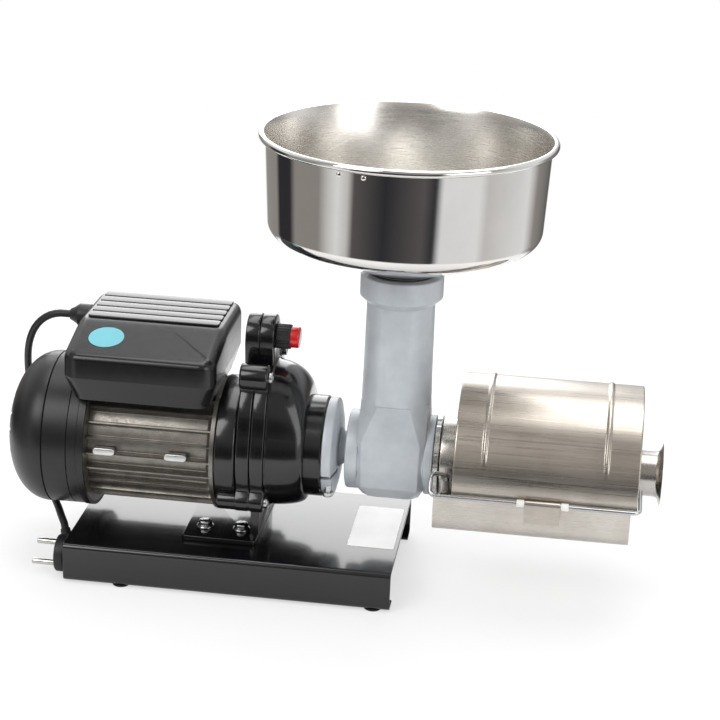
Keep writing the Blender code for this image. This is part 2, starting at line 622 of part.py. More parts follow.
def build_gearbox(black_paint, steel, dark, red, zinc):
    """The two case halves, the switch on its lobe and the case screws."""
    at = (0.0, 0.0, AXIS_HEIGHT)
    outer = joined_circles(case_circles())

    def chamber(shrink):
        """The case's main outline without lobe and lugs, drawn in."""
        return joined_circles([(0.0, 0.0, CASE_LOW_RADIUS - shrink),
                               (0.0, CASE_RISE, CASE_HIGH_RADIUS - shrink)])

    cavity = chamber(CASE_WALL)
    bulge = chamber(BULGE_STEP)
    bulge_cavity = chamber(BULGE_STEP + CASE_WALL)
    shaft_hole = joined_circles([(0.0, -MOTOR_DROP, MOTOR_SHAFT_RADIUS + RUNNING_GAP)])
    half = loft("gearbox_case", [(CASE_LEFT, outer), (CASE_RIGHT, outer), (CASE_RIGHT, cavity),
                                 (CASE_LEFT + CASE_WALL, cavity), (CASE_LEFT + CASE_WALL, shaft_hole),
                                 (CASE_LEFT, shaft_hole)], black_paint, at=at, closed=True)
    bearing_seat = joined_circles([(0.0, 0.0, OUTPUT_SHAFT_RADIUS + RUNNING_GAP + BEARING_WALL + GAP)])
    shaft_bore = joined_circles([(0.0, 0.0, OUTPUT_SHAFT_RADIUS + RUNNING_GAP)])
    boss = joined_circles([(0.0, 0.0, BOSS_RADIUS)])
    seat_left = BULGE_RIGHT - CASE_WALL
    cover = loft("gearbox_cover", [(COVER_LEFT, outer), (COVER_SHOULDER, outer), (COVER_SHOULDER, bulge),
                                   (BULGE_RIGHT, bulge * 0.96), (BULGE_RIGHT, boss), (BOSS_RIGHT, boss),
                                   (BOSS_RIGHT, shaft_bore), (seat_left + BEARING_WIDTH + GAP, shaft_bore),
                                   (seat_left + BEARING_WIDTH + GAP, bearing_seat), (seat_left, bearing_seat),
                                   (seat_left, bulge_cavity), (COVER_SHOULDER + GAP, bulge_cavity),
                                   (COVER_LEFT, bulge_cavity)], black_paint, at=at, closed=True)
    idler_at = (0.0, 0.0, AXIS_HEIGHT + idler_rise())
    hole(cover, IDLER_SHAFT_RADIUS + RUNNING_GAP, seat_left - GAP, seat_left + CASE_WALL / 2, at=idler_at)
    hole(half, IDLER_SHAFT_RADIUS + RUNNING_GAP, CASE_LEFT + CASE_WALL / 2, CASE_LEFT + CASE_WALL + GAP,
         at=idler_at)
    switch_at = (0.0, 0.0, SWITCH_HEIGHT)
    pocket_left = COVER_SHOULDER - SWITCH_BODY_LENGTH - GAP
    hole(half, SWITCH_BODY_RADIUS + GAP, pocket_left, CASE_RIGHT + GAP, at=switch_at)
    hole(cover, SWITCH_BODY_RADIUS + GAP, COVER_LEFT - GAP, COVER_SHOULDER + GAP, at=switch_at)
    turned("switch_body", [(pocket_left + GAP, SWITCH_BODY_RADIUS), (COVER_SHOULDER, SWITCH_BODY_RADIUS)],
           dark, at=switch_at, count=24)
    collar_left = COVER_SHOULDER + GAP
    collar_right = collar_left + SWITCH_COLLAR_LENGTH
    bore = SWITCH_BUTTON_RADIUS + RUNNING_GAP
    floor = collar_left + SWITCH_COLLAR_LENGTH - SWITCH_TRAVEL * 2.4
    turned("switch_collar", [(collar_left, SWITCH_COLLAR_RADIUS), (collar_right, SWITCH_COLLAR_RADIUS),
                             (collar_right, bore), (floor, bore)], dark, at=switch_at, count=32)
    button_left = floor + SWITCH_TRAVEL + GAP
    turned("switch_button", [(button_left, SWITCH_BUTTON_RADIUS),
                             (collar_right + SWITCH_BUTTON_REACH - BUTTON_CHAMFER, SWITCH_BUTTON_RADIUS),
                             (collar_right + SWITCH_BUTTON_REACH, SWITCH_BUTTON_RADIUS - BUTTON_CHAMFER)],
           red, at=switch_at, count=32)
    number = 0
    for across, up in (LUG_HIGH, LUG_LOW):
        for side in (-1, 1):
            number += 1
            screw_at = (0.0, side * across, AXIS_HEIGHT + up)
            clear = SCREW_RADIUS + SCREW_CLEARANCE
            hole(half, clear, CASE_LEFT + CASE_WALL, CASE_RIGHT + GAP, at=screw_at, count=12)
            hole(cover, clear, COVER_LEFT - GAP, COVER_SHOULDER + GAP, at=screw_at, count=12)
            seat = COVER_SHOULDER + GAP
            turned(f"case_screw_{number}", [(CASE_LEFT + CASE_WALL + GAP, SCREW_RADIUS), (seat, SCREW_RADIUS),
                                            (seat, SCREW_HEAD_RADIUS),
                                            (seat + SCREW_HEAD_HEIGHT * 0.6, SCREW_HEAD_RADIUS),
                                            (seat + SCREW_HEAD_HEIGHT, SCREW_HEAD_RADIUS * 0.7)],
                   zinc, at=screw_at, count=16)
    turned("output_bearing", bearing_profile(seat_left + GAP, OUTPUT_SHAFT_RADIUS), steel, at=at, closed=True,
           count=20)


def bearing_profile(left, shaft_radius):
    """A plain ring that stands for a ball bearing, on a shaft."""
    inner = shaft_radius + RUNNING_GAP
    return [(left, inner), (left, inner + BEARING_WALL), (left + BEARING_WIDTH - 2 * GAP, inner + BEARING_WALL),
            (left + BEARING_WIDTH - 2 * GAP, inner)]


def idler_rise():
    """Height of the intermediate shaft above the output shaft, from the second gear pair."""
    return GEAR_MODULE * (SECOND_PINION_TEETH + OUTPUT_TEETH) / 2


def build_gears(steel, motor_shaft):
    """Motor pinion, intermediate wheel and pinion shaft, and the output gear and shaft."""
    up = math.pi / 2
    first_left = CASE_LEFT + CASE_WALL + GEAR_AIR
    first_right = first_left + FIRST_FACE
    second_left = first_right + GEAR_AIR
    second_right = second_left + SECOND_FACE
    motor_at = (0.0, 0.0, MOTOR_HEIGHT)
    idler_at = (0.0, 0.0, AXIS_HEIGHT + idler_rise())
    output_at = (0.0, 0.0, AXIS_HEIGHT)

    def gear(name, teeth, phase, left, right, bore, at):
        """A spur gear with a bore."""
        rim = toothed(teeth, phase)
        angle = np.arctan2(rim[:, 1], rim[:, 0])
        inner = np.column_stack([np.cos(angle), np.sin(angle)]) * bore
        return loft(name, [(left, rim), (right, rim), (right, inner), (left, inner)], steel, at=at, closed=True)

    combine(motor_shaft, loft("pinion", [(first_left - GEAR_AIR * 0.7, toothed(MOTOR_PINION_TEETH, up)),
                                         (first_right, toothed(MOTOR_PINION_TEETH, up))], at=motor_at), "UNION")
    wheel = gear("intermediate_wheel", WHEEL_TEETH, -up + math.pi / WHEEL_TEETH, first_left, first_right,
                 IDLER_SHAFT_RADIUS + GAP, idler_at)
    output = gear("output_gear", OUTPUT_TEETH, up + math.pi / OUTPUT_TEETH, second_left, second_right,
                  OUTPUT_SHAFT_RADIUS + GAP, output_at)
    shaft = turned("intermediate_shaft", [(CASE_LEFT + CASE_WALL / 2 + GAP, IDLER_SHAFT_RADIUS),
                                          (BULGE_RIGHT - CASE_WALL / 2 - GAP, IDLER_SHAFT_RADIUS)],
                   steel, at=idler_at, count=24)
    combine(shaft, loft("pinion", [(second_left, toothed(SECOND_PINION_TEETH, -up)),
                                   (second_right, toothed(SECOND_PINION_TEETH, -up))], at=idler_at), "UNION")
    output_shaft = turned("output_shaft", [(second_left, OUTPUT_SHAFT_RADIUS),
                                           (NECK_LEFT - GAP, OUTPUT_SHAFT_RADIUS)], steel, at=output_at, count=32)
    return (wheel, shaft), (output, output_shaft)


def build_motor(aluminium, plastics, steel, copper):
    """End shields, finned housing, core, windings, rotor, shaft, bearings, fan and fan cover."""
    at = (0.0, 0.0, MOTOR_HEIGHT)
    seat = MOTOR_SHAFT_RADIUS + RUNNING_GAP + BEARING_WALL + GAP
    bore = MOTOR_SHAFT_RADIUS + RUNNING_GAP
    plate = SHIELD_RIGHT - SHIELD_WALL
    turned("front_shield", [(SHIELD_LEFT, SHIELD_RADIUS - SHIELD_WALL), (SHIELD_LEFT, SHIELD_RADIUS),
                            (SHIELD_RIGHT, SHIELD_RADIUS), (SHIELD_RIGHT, bore), (plate, bore), (plate, seat),
                            (plate - BEARING_WIDTH, seat), (plate - BEARING_WIDTH, seat + SHIELD_WALL),
                            (plate, seat + SHIELD_WALL), (plate, SHIELD_RADIUS - SHIELD_WALL)],
           plastics["paint"], at=at, closed=True)
    turned("front_bearing", bearing_profile(plate - BEARING_WIDTH + GAP, MOTOR_SHAFT_RADIUS), steel, at=at,
           closed=True, count=20)
    rear_right = STATOR_LEFT - GAP
    rear_left = rear_right - REAR_SHIELD_LENGTH
    rear_plate = rear_right - SHIELD_WALL
    cover_inner = FAN_COVER_RADIUS - FAN_COVER_WALL
    turned("rear_shield", [(rear_right, bore), (rear_right, cover_inner - GAP), (rear_plate, cover_inner - GAP),
                           (rear_plate, seat + SHIELD_WALL), (rear_left, seat + SHIELD_WALL), (rear_left, seat),
                           (rear_plate, seat), (rear_plate, bore)], aluminium, at=at, closed=True)
    turned("rear_bearing", bearing_profile(rear_plate - BEARING_WIDTH + GAP, MOTOR_SHAFT_RADIUS), steel, at=at,
           closed=True, count=20)
    build_stator_housing(aluminium, at)
    middle = (STATOR_LEFT + STATOR_RIGHT) / 2
    core_left, core_right = middle - CORE_LENGTH / 2, middle + CORE_LENGTH / 2
    core_bore = ROTOR_RADIUS + AIR_GAP
    turned("stator_core", [(core_left, core_bore), (core_left, STATOR_BORE - GAP), (core_right, STATOR_BORE - GAP),
                           (core_right, core_bore)], steel, at=at, closed=True)
    for name, left in (("winding_rear", core_left - GAP - WINDING_LENGTH), ("winding_front", core_right + GAP)):
        low, high = core_bore + WINDING_AIR, STATOR_BORE - WINDING_AIR
        turned(name, [(left, low), (left, high), (left + WINDING_LENGTH, high), (left + WINDING_LENGTH, low)],
               copper, at=at, closed=True, count=20)
    inner = MOTOR_SHAFT_RADIUS * 1.2 + GAP
    rotor = turned("rotor_core", [(core_left, inner), (core_left, ROTOR_RADIUS), (core_right, ROTOR_RADIUS),
                                  (core_right, inner)], steel, at=at, closed=True)
    fan_left = rear_left - GAP - FAN_AIR - FAN_WIDTH
    shaft = turned("motor_shaft", [(fan_left, MOTOR_SHAFT_RADIUS), (core_left, MOTOR_SHAFT_RADIUS),
                                   (core_left, inner - GAP), (core_right, inner - GAP),
                                   (core_right, MOTOR_SHAFT_RADIUS),
                                   (CASE_LEFT + CASE_WALL + GEAR_AIR * 0.6, MOTOR_SHAFT_RADIUS)],
                   steel, at=at, count=24)
    fan = build_fan(plastics["grey"], at, fan_left)
    build_fan_cover(plastics["satin"], at)
    return shaft, rotor, fan


def build_stator_housing(aluminium, at):
    """The finned housing with a flat seat on top for the terminal box."""
    step = 2 * math.pi / FIN_COUNT
    angle = np.repeat(np.arange(FIN_COUNT) * step, 4)
    angle += np.tile([-0.20, -0.09, 0.09, 0.20], FIN_COUNT) * step
    reach = np.tile([FIN_ROOT_RADIUS, FIN_TIP_RADIUS, FIN_TIP_RADIUS, FIN_ROOT_RADIUS], FIN_COUNT)
    from_top = np.abs(np.angle(np.exp(1j * (angle - math.pi / 2))))
    flat = SEAT_HEIGHT / np.maximum(np.cos(from_top), 0.2)
    on_seat = flat < FIN_TIP_RADIUS
    ray = np.column_stack([np.cos(angle), np.sin(angle)])
    finned = ray * np.where(on_seat, flat, reach)[:, None]
    inner = ray * STATOR_BORE
    sections = [(STATOR_LEFT, finned), (STATOR_RIGHT, finned), (STATOR_RIGHT, inner), (STATOR_LEFT, inner)]
    return loft("stator_housing", sections, aluminium, at=at, closed=True)


def build_fan(material, at, left):
    """The cooling fan: a hub, a back plate and straight blades."""
    hub_radius = MOTOR_SHAFT_RADIUS + FAN_HUB_WALL
    right = left + FAN_WIDTH
    fan = turned("cooling_fan", [(left, MOTOR_SHAFT_RADIUS + GAP), (left, hub_radius),
                                 (right - FAN_SHEET, hub_radius), (right - FAN_SHEET, FAN_RADIUS),
                                 (right, FAN_RADIUS), (right, MOTOR_SHAFT_RADIUS + GAP)],
                 material, at=at, closed=True, count=32)
    for blade in range(FAN_BLADES):
        tool = block("blade", (left + FAN_SHEET, hub_radius - FAN_SHEET / 2, -FAN_SHEET / 2),
                     (right - FAN_SHEET / 2, FAN_RADIUS - FAN_SHEET / 2, FAN_SHEET / 2))
        tool.data.transform(Matrix.Rotation(2 * math.pi * blade / FAN_BLADES, 4, "X"))
        tool.location = at
        combine(fan, tool, "UNION")
    return fan


def build_fan_cover(material, at):
    """The domed fan cover with ventilation slots in its end."""
    outer, inner = [], []
    for step in range(DOME_STEPS + 1):
        angle = step / DOME_STEPS * DOME_TURN
        outer.append((FAN_COVER_DOME_X - FAN_COVER_DOME * math.sin(angle) ** 0.94,
                      FAN_COVER_RADIUS * math.cos(angle) ** 0.80))
        inner.append((FAN_COVER_DOME_X - (FAN_COVER_DOME - FAN_COVER_WALL) * math.sin(angle) ** 0.94,
                      (FAN_COVER_RADIUS - FAN_COVER_WALL) * math.cos(angle) ** 0.80))
    end = FAN_COVER_DOME_X - FAN_COVER_DOME
    cover = turned("fan_cover", [(FAN_COVER_RIGHT, FAN_COVER_RADIUS)] + outer, material, at=at)
    hollow = turned("hollow", [(FAN_COVER_RIGHT + CUT_OVER, FAN_COVER_RADIUS - FAN_COVER_WALL)] + inner, at=at)
    combine(cover, hollow, "DIFFERENCE")
    cut_low, cut_high = FAN_COVER_RADIUS * 0.22, FAN_COVER_RADIUS * 0.72
    for slot in range(SLOT_COUNT):
        tool = block("slot", (end - CUT_OVER, cut_low, -SLOT_WIDTH / 2),
                     (FAN_COVER_DOME_X - FAN_COVER_WALL, cut_high, SLOT_WIDTH / 2))
        tool.data.transform(Matrix.Rotation(2 * math.pi * (slot + 0.5) / SLOT_COUNT, 4, "X"))
        tool.location = at
        combine(cover, tool, "DIFFERENCE")
    return cover


def build_terminal_box(satin, steel_can):
    """Terminal box base, ribbed lid, capacitor and cable gland."""
    left = STATOR_LEFT - BOX_LEFT_OVERHANG
    right = left + BOX_LENGTH
    low = MOTOR_HEIGHT + SEAT_HEIGHT + GAP
    split = low + BOX_BASE_HEIGHT
    top = split + GAP + BOX_LID_HEIGHT
    half = BOX_HALF_DEPTH
    wide = rounded_rectangle((left, -half), (right, half), BOX_CORNER)
    narrow = rounded_rectangle((left + BOX_BASE_TAPER, -half + BOX_BASE_TAPER),
                               (right - BOX_BASE_TAPER, half - BOX_BASE_TAPER), BOX_CORNER)
    base = loft("terminal_box_base", [(low, narrow), (split, wide)], satin, "Z")
    wall = BOX_WALL
    hole(base, FAN_COVER_RADIUS + GAP, left - CUT_FAR, FAN_COVER_RIGHT + GAP, at=(0.0, 0.0, MOTOR_HEIGHT),
         count=44)
    floor_left = FAN_COVER_RIGHT + GAP + wall
    floor_inner = rounded_rectangle((floor_left, -half + BOX_BASE_TAPER + wall),
                                    (right - BOX_BASE_TAPER - wall, half - BOX_BASE_TAPER - wall),
                                    BOX_CORNER - wall)
    top_inner = rounded_rectangle((floor_left, -half + wall), (right - wall, half - wall), BOX_CORNER - wall)
    combine(base, loft("hollow", [(low + wall, floor_inner), (split + GAP, top_inner)], None, "Z"), "DIFFERENCE")
    lid = loft("terminal_box_lid", [(split + GAP, wide), (top, wide)], satin, "Z")
    ridge_y = -half + BOX_SLOPE_LENGTH
    front_top = top - BOX_SLOPE_DROP
    wedge = np.array([(-half - CUT_FAR, front_top - BOX_SLOPE_DROP * CUT_FAR / BOX_SLOPE_LENGTH),
                      (ridge_y, top), (ridge_y, top + CUT_FAR), (-half - CUT_FAR, top + CUT_FAR)])
    combine(lid, loft("slope", [(left - CUT_FAR, wedge), (right + CUT_FAR, wedge)]), "DIFFERENCE")
    inside = np.array([(-half + wall, split), (half - wall, split), (half - wall, top - wall - RIB_DEPTH),
                       (ridge_y, top - wall - RIB_DEPTH), (-half + wall, front_top - wall)])
    combine(lid, loft("hollow", [(left + wall, inside), (right - wall, inside)]), "DIFFERENCE")
    for rib in range(RIB_COUNT):
        y = ridge_y + RIB_PITCH * (rib + RIDGE_SHIFT)
        groove = block("groove", (left + RIB_INSET, y, top - RIB_DEPTH),
                       (right - RIB_INSET, y + RIB_GROOVE, top + CUT_FAR))
        combine(lid, groove, "DIFFERENCE")
    capacitor_z = low + wall + CAPACITOR_RADIUS + GAP
    middle = (left + right) / 2
    turned("capacitor", [(middle - CAPACITOR_LENGTH / 2, CAPACITOR_RADIUS),
                         (middle + CAPACITOR_LENGTH / 2, CAPACITOR_RADIUS)],
           steel_can, at=(0.0, BOX_HALF_DEPTH * 0.35, capacitor_z), count=32)
    gland_at = (0.0, GLAND_Y, top - GLAND_DROP)
    gland_left = left - GAP - GLAND_LENGTH
    turned("cable_gland", [(left - GAP, GLAND_RADIUS), (left - GLAND_LENGTH * 0.60, GLAND_RADIUS),
                           (left - GLAND_LENGTH * 0.64, GLAND_RADIUS * 0.86),
                           (gland_left + PLUG_CHAMFER, CORD_RADIUS * 1.5),
                           (gland_left, CORD_RADIUS * 1.3)], satin, at=gland_at, count=24)
    return gland_left, gland_at


def cord_route():
    """The cord's own points, from the gland down behind the fan cover to the plug, in metres."""
    return [(0.0000, 0.0350, 0.1895), (-0.0067, 0.0350, 0.1893), (-0.0147, 0.0355, 0.1868),
             (-0.0225, 0.0368, 0.1812), (-0.0291, 0.0390, 0.1726), (-0.0340, 0.0425, 0.1615),
             (-0.0372, 0.0470, 0.1485), (-0.0388, 0.0520, 0.1335), (-0.0392, 0.0565, 0.1175),
             (-0.0385, 0.0600, 0.1015), (-0.0365, 0.0615, 0.0860), (-0.0330, 0.0600, 0.0710),
             (-0.0280, 0.0545, 0.0570), (-0.0220, 0.0440, 0.0462), (-0.0155, 0.0300, 0.0405),
             (-0.0085, 0.0140, 0.0385), (-0.0015, -0.0025, 0.0385), (0.0055, -0.0170, 0.0385),
             (0.0110, -0.0280, 0.0362), (0.0155, -0.0350, 0.0326), (0.0172, -0.0385, 0.0300)]


def build_cord_and_plug(gland_left, gland_at, rubber, satin, nickel):
    """The mains lead and its angled plug, parked in the base's open left end."""
    route = np.array(cord_route())
    start = np.array([gland_left - GAP, GLAND_Y, gland_at[2]])
    path = smooth_curve(route, CORD_STEP * 2 * CORD_RADIUS) + start - route[0]
    path += (-CORD_LEAD, 0.0, 0.0)
    path = np.vstack([start, path])
    tube_curve("power_cord", path, CORD_RADIUS, rubber, 2)
    face_x = BASE_LEFT - PLUG_OVERHANG
    centre = (0.0, PLUG_Y, PLUG_RADIUS + PLUG_LIFT)
    plug = turned("plug_body", [(face_x, PLUG_RADIUS - PLUG_CHAMFER), (face_x + PLUG_CHAMFER, PLUG_RADIUS),
                                (face_x + PLUG_FLANGE * 0.8, PLUG_RADIUS),
                                (face_x + PLUG_FLANGE, PLUG_BACK_RADIUS),
                                (face_x + PLUG_LENGTH, PLUG_BACK_RADIUS * 0.85)], satin, at=centre, count=32)
    tip = Vector(path[-1])
    heading = (Vector(path[-1]) - Vector(path[-2])).normalized()
    end = tip + heading * GAP
    boss = turned("outlet", [(0.0, CORD_RADIUS * 1.3), (OUTLET_SLEEVE * 0.45, CORD_RADIUS * 1.5),
                             (OUTLET_SLEEVE, CORD_RADIUS * 1.5)], None, "Z", count=20)
    boss.data.transform(heading.to_track_quat("Z", "Y").to_matrix().to_4x4())
    boss.location = end
    combine(plug, boss, "UNION")
    for number, side in ((1, 1), (2, -1)):
        across = side * PIN_SPACING / 2
        pin_at = (0.0, centre[1] + across * math.cos(PIN_TURN), centre[2] + across * math.sin(PIN_TURN))
        turned(f"plug_pin_{number}", [(face_x - GAP, PIN_RADIUS),
                                      (face_x - PIN_LENGTH + PLUG_CHAMFER, PIN_RADIUS),
                                      (face_x - PIN_LENGTH, PIN_RADIUS - PLUG_CHAMFER)],
               nickel, at=pin_at, count=32)


def build_clamp_ring(cast, zinc):
    """The split ring on the gearbox boss that grips the strainer's neck, and its screw."""
    at = (0.0, 0.0, AXIS_HEIGHT)
    bore = OUTPUT_SHAFT_RADIUS + CLAMP_BORE_AIR
    ring = turned("clamp_ring", [(CLAMP_LEFT, bore), (CLAMP_LEFT, CLAMP_RADIUS), (NECK_LEFT - GAP, CLAMP_RADIUS),
                                 (NECK_LEFT - GAP, bore)], cast, at=at, closed=True)
    slot_z = AXIS_HEIGHT - CLAMP_RADIUS * 0.35
    slot = block("slot", (CLAMP_LEFT - CUT_FAR, -CLAMP_RADIUS - CUT_FAR, slot_z),
                 (NECK_LEFT + CUT_FAR, -CLAMP_RADIUS * 0.4, slot_z + CLAMP_SLOT))
    combine(ring, slot, "DIFFERENCE")
    screw_y = -CLAMP_RADIUS * 0.78
    middle = (CLAMP_LEFT + NECK_LEFT) / 2
    low = AXIS_HEIGHT - CLAMP_RADIUS * 0.6625
    screw_at = (middle, screw_y, 0.0)
    tip = slot_z + CLAMP_SLOT + CLAMP_SCREW_REACH
    hole(ring, CLAMP_SCREW_RADIUS + SCREW_CLEARANCE, low - 2 * CUT_FAR, tip + CUT_OVER, "Z", screw_at, 12)
    turned("clamp_screw", [(low - CLAMP_HEAD_HEIGHT, SCREW_HEAD_RADIUS), (low, SCREW_HEAD_RADIUS),
                           (low, CLAMP_SCREW_RADIUS), (tip, CLAMP_SCREW_RADIUS)],
           zinc, "Z", screw_at, count=16)
    hole(ring, SCREW_HEAD_RADIUS + SCREW_CLEARANCE, low - 3 * CUT_FAR, low + GAP, "Z", screw_at, 16)


def chamfered_rectangle(half_x, half_y, chamfer):
    """An eight-cornered section."""
    return np.array([(half_x, -half_y + chamfer), (half_x, half_y - chamfer), (half_x - chamfer, half_y),
                     (-half_x + chamfer, half_y), (-half_x, half_y - chamfer), (-half_x, -half_y + chamfer),
                     (-half_x + chamfer, -half_y), (half_x - chamfer, -half_y)])


def build_strainer_body(cast, bronze):
    """The casting: neck, flanges, faceted chamber, throat and collar, with its bores and the shaft bush."""
    at = (0.0, 0.0, AXIS_HEIGHT)
    up = (THROAT_X, 0.0, AXIS_HEIGHT)
    body = turned("strainer_body", [(NECK_LEFT, NECK_RADIUS), (BODY_LEFT - LEFT_FLANGE, NECK_RADIUS),
                                    (BODY_LEFT - LEFT_FLANGE, FLANGE_RADIUS - FLANGE_CHAMFER),
                                    (BODY_LEFT - LEFT_FLANGE + FLANGE_CHAMFER, FLANGE_RADIUS),
                                    (BODY_LEFT, FLANGE_RADIUS),
                                    (BODY_LEFT, FLANGE_RADIUS * 0.95), (BODY_RIGHT, FLANGE_RADIUS * 0.95),
                                    (BODY_RIGHT, FLANGE_RADIUS), (BODY_RIGHT + RIGHT_FLANGE, FLANGE_RADIUS),
                                    (BODY_RIGHT + RIGHT_FLANGE, SPIGOT_RADIUS),
                                    (BODY_RIGHT + RIGHT_FLANGE + SPIGOT_LENGTH, SPIGOT_RADIUS)], cast, at=at)
    half_x = BODY_LENGTH / 2 + BODY_OVERLAP
    chamber = [(-BODY_FOOT_DROP - CUT_OVER, chamfered_rectangle(half_x * 0.85, BODY_HALF_DEPTH * 0.55, 0.005)),
               (-BODY_FOOT_DROP * 0.66, chamfered_rectangle(half_x, BODY_HALF_DEPTH, 0.004)),
               (0.0, chamfered_rectangle(half_x, BODY_HALF_DEPTH, 0.003)),
               (THROAT_START, chamfered_rectangle(THROAT_RADIUS * 0.97, THROAT_RADIUS * 0.93,
                                                  THROAT_RADIUS * 0.55))]
    combine(body, loft("chamber", chamber, None, "Z", up), "UNION")
    strip = circle(THROAT_RADIUS, turn=math.pi / ROUND)
    strip[:, 1] = np.maximum(strip[:, 1], -THROAT_FLAT)
    throat = loft("throat", [(THROAT_START * 0.4, strip), (COLLAR_BOTTOM + COLLAR_CHAMFER, strip)], None, "Z", up)
    combine(body, throat, "UNION")
    collar_top = COLLAR_BOTTOM + COLLAR_HEIGHT
    combine(body, turned("collar", [(COLLAR_BOTTOM, THROAT_BORE + 0.003), (COLLAR_BOTTOM, THROAT_RADIUS),
                                    (COLLAR_BOTTOM + COLLAR_CHAMFER, COLLAR_RADIUS), (collar_top, COLLAR_RADIUS)],
                         None, "Z", up), "UNION")
    hole(body, THROAT_BORE, 0.0, collar_top + CUT_FAR, "Z", up, ROUND)
    hole(body, SPOUT_RADIUS + GAP, collar_top - SPOUT_SEAT_DEPTH, collar_top + CUT_FAR, "Z", up, ROUND)
    hole(body, AUGER_BORE, BODY_LEFT, BODY_RIGHT + RIGHT_FLANGE + SPIGOT_LENGTH + CUT_FAR, at=at, count=ROUND)
    hole(body, NECK_BORE, NECK_LEFT - CUT_FAR, BODY_LEFT + CUT_OVER, at=at, count=SMALL_ROUND)
    inner = AUGER_SHAFT_RADIUS + RUNNING_GAP
    turned("shaft_bush", [(NECK_LEFT + GAP, inner), (NECK_LEFT + GAP, NECK_BORE - GAP),
                          (BODY_LEFT - GAP, NECK_BORE - GAP), (BODY_LEFT - GAP, inner)],
           bronze, at=at, closed=True, count=20)


def build_hopper(stainless):
    """The stainless hopper: rolled rim, nearly straight wall, round corner, cone and spout."""
    collar_top = AXIS_HEIGHT + COLLAR_BOTTOM + COLLAR_HEIGHT
    spout_low = collar_top - SPOUT_SEAT_DEPTH + GAP
    sheet = HOPPER_SHEET
    bend_z = RIM_HEIGHT - HOPPER_WALL_DROP
    cone_z = bend_z - HOPPER_CORNER * 0.75
    spout_top = max(cone_z - HOPPER_CONE_DROP, collar_top + SPOUT_CLEAR)
    bead_x = RIM_RADIUS - RIM_BEAD
    bead = [(RIM_HEIGHT - RIM_BEAD + RIM_BEAD * math.sin(angle), bead_x + RIM_BEAD * math.cos(angle))
            for angle in np.radians(BEAD_TURNS)]
    centre_r = HOPPER_WALL_LOW_RADIUS - HOPPER_CORNER
    corner = [(bend_z - HOPPER_CORNER * math.sin(angle), centre_r + HOPPER_CORNER * math.cos(angle))
              for angle in np.radians([0, 30, 60])]
    outer = bead + [(RIM_HEIGHT - 2.2 * RIM_BEAD, HOPPER_WALL_TOP_RADIUS)] + corner
    neck_z = collar_top + 2 * GAP
    outer += [(spout_top, SPOUT_RADIUS + SPOUT_FLARE), (neck_z, SPOUT_RADIUS), (spout_low, SPOUT_RADIUS)]
    inside = HOPPER_CORNER - sheet
    inner_corner = [(bend_z - inside * math.sin(angle), centre_r + inside * math.cos(angle))
                    for angle in np.radians([60, 30, 0])]
    inner = [(spout_low, SPOUT_RADIUS - sheet), (neck_z + sheet * 0.5, SPOUT_RADIUS - sheet),
             (spout_top + sheet, SPOUT_RADIUS + SPOUT_FLARE - sheet * 0.4)]
    inner += inner_corner + [(RIM_HEIGHT - 2.2 * RIM_BEAD, HOPPER_WALL_TOP_RADIUS - sheet)]
    return turned("hopper", outer + inner, stainless, "Z", (THROAT_X, 0.0, 0.0), closed=True, count=36)


def sieve_radius(x):
    """Outer radius of the sieve's cone at a station."""
    share = (x - CONE_LEFT) / (CONE_RIGHT - CONE_LEFT)
    return SIEVE_START_RADIUS + (OUTLET_RADIUS - SIEVE_START_RADIUS) * share


def build_sieve_and_ring(stainless, aluminium):
    """The conical sieve with its collar and waste outlet, and the locking ring."""
    at = (0.0, 0.0, AXIS_HEIGHT)
    flange_left = BODY_RIGHT + RIGHT_FLANGE + SPIGOT_LENGTH + GAP
    lip_left = RING_RIGHT - RING_LIP
    inside = SPIGOT_RADIUS + GAP
    tube = AUGER_BORE + SIEVE_WALL
    wall = SIEVE_WALL
    ring = turned("locking_ring", [(RING_LEFT, inside), (RING_LEFT, RING_RADIUS), (RING_RIGHT, RING_RADIUS),
                                   (RING_RIGHT, tube + 2 * GAP), (lip_left, tube + 2 * GAP), (lip_left, inside)],
                  aluminium, at=at, closed=True)
    outer = [(flange_left, SPIGOT_RADIUS - GAP), (lip_left - GAP, SPIGOT_RADIUS - GAP), (lip_left - GAP, tube),
             (SIEVE_LEFT, tube), (SIEVE_LEFT, SIEVE_COLLAR_RADIUS), (CONE_LEFT, SIEVE_COLLAR_RADIUS),
             (CONE_LEFT, SIEVE_START_RADIUS), (CONE_RIGHT, OUTLET_RADIUS), (OUTLET_RIGHT, OUTLET_RADIUS),
             (OUTLET_RIGHT + LIP_LENGTH, LIP_RADIUS)]
    inner = [(OUTLET_RIGHT + LIP_LENGTH, LIP_RADIUS - wall), (OUTLET_RIGHT, OUTLET_RADIUS - wall),
             (CONE_RIGHT, OUTLET_RADIUS - wall), (CONE_LEFT, SIEVE_START_RADIUS - wall),
             (CONE_LEFT - wall, AUGER_BORE), (flange_left, AUGER_BORE)]
    sieve = turned("sieve", outer + inner, stainless, at=at, closed=True)
    catch_left = SIEVE_LEFT + CATCH_INSET
    catch = block("catch", (catch_left, -CATCH_REACH, -CATCH_TOP_DROP - CATCH_HEIGHT),
                  (catch_left + CATCH_LENGTH, -CATCH_REACH + CATCH_DEPTH, -CATCH_TOP_DROP))
    catch.location = at
    combine(sieve, catch, "UNION")


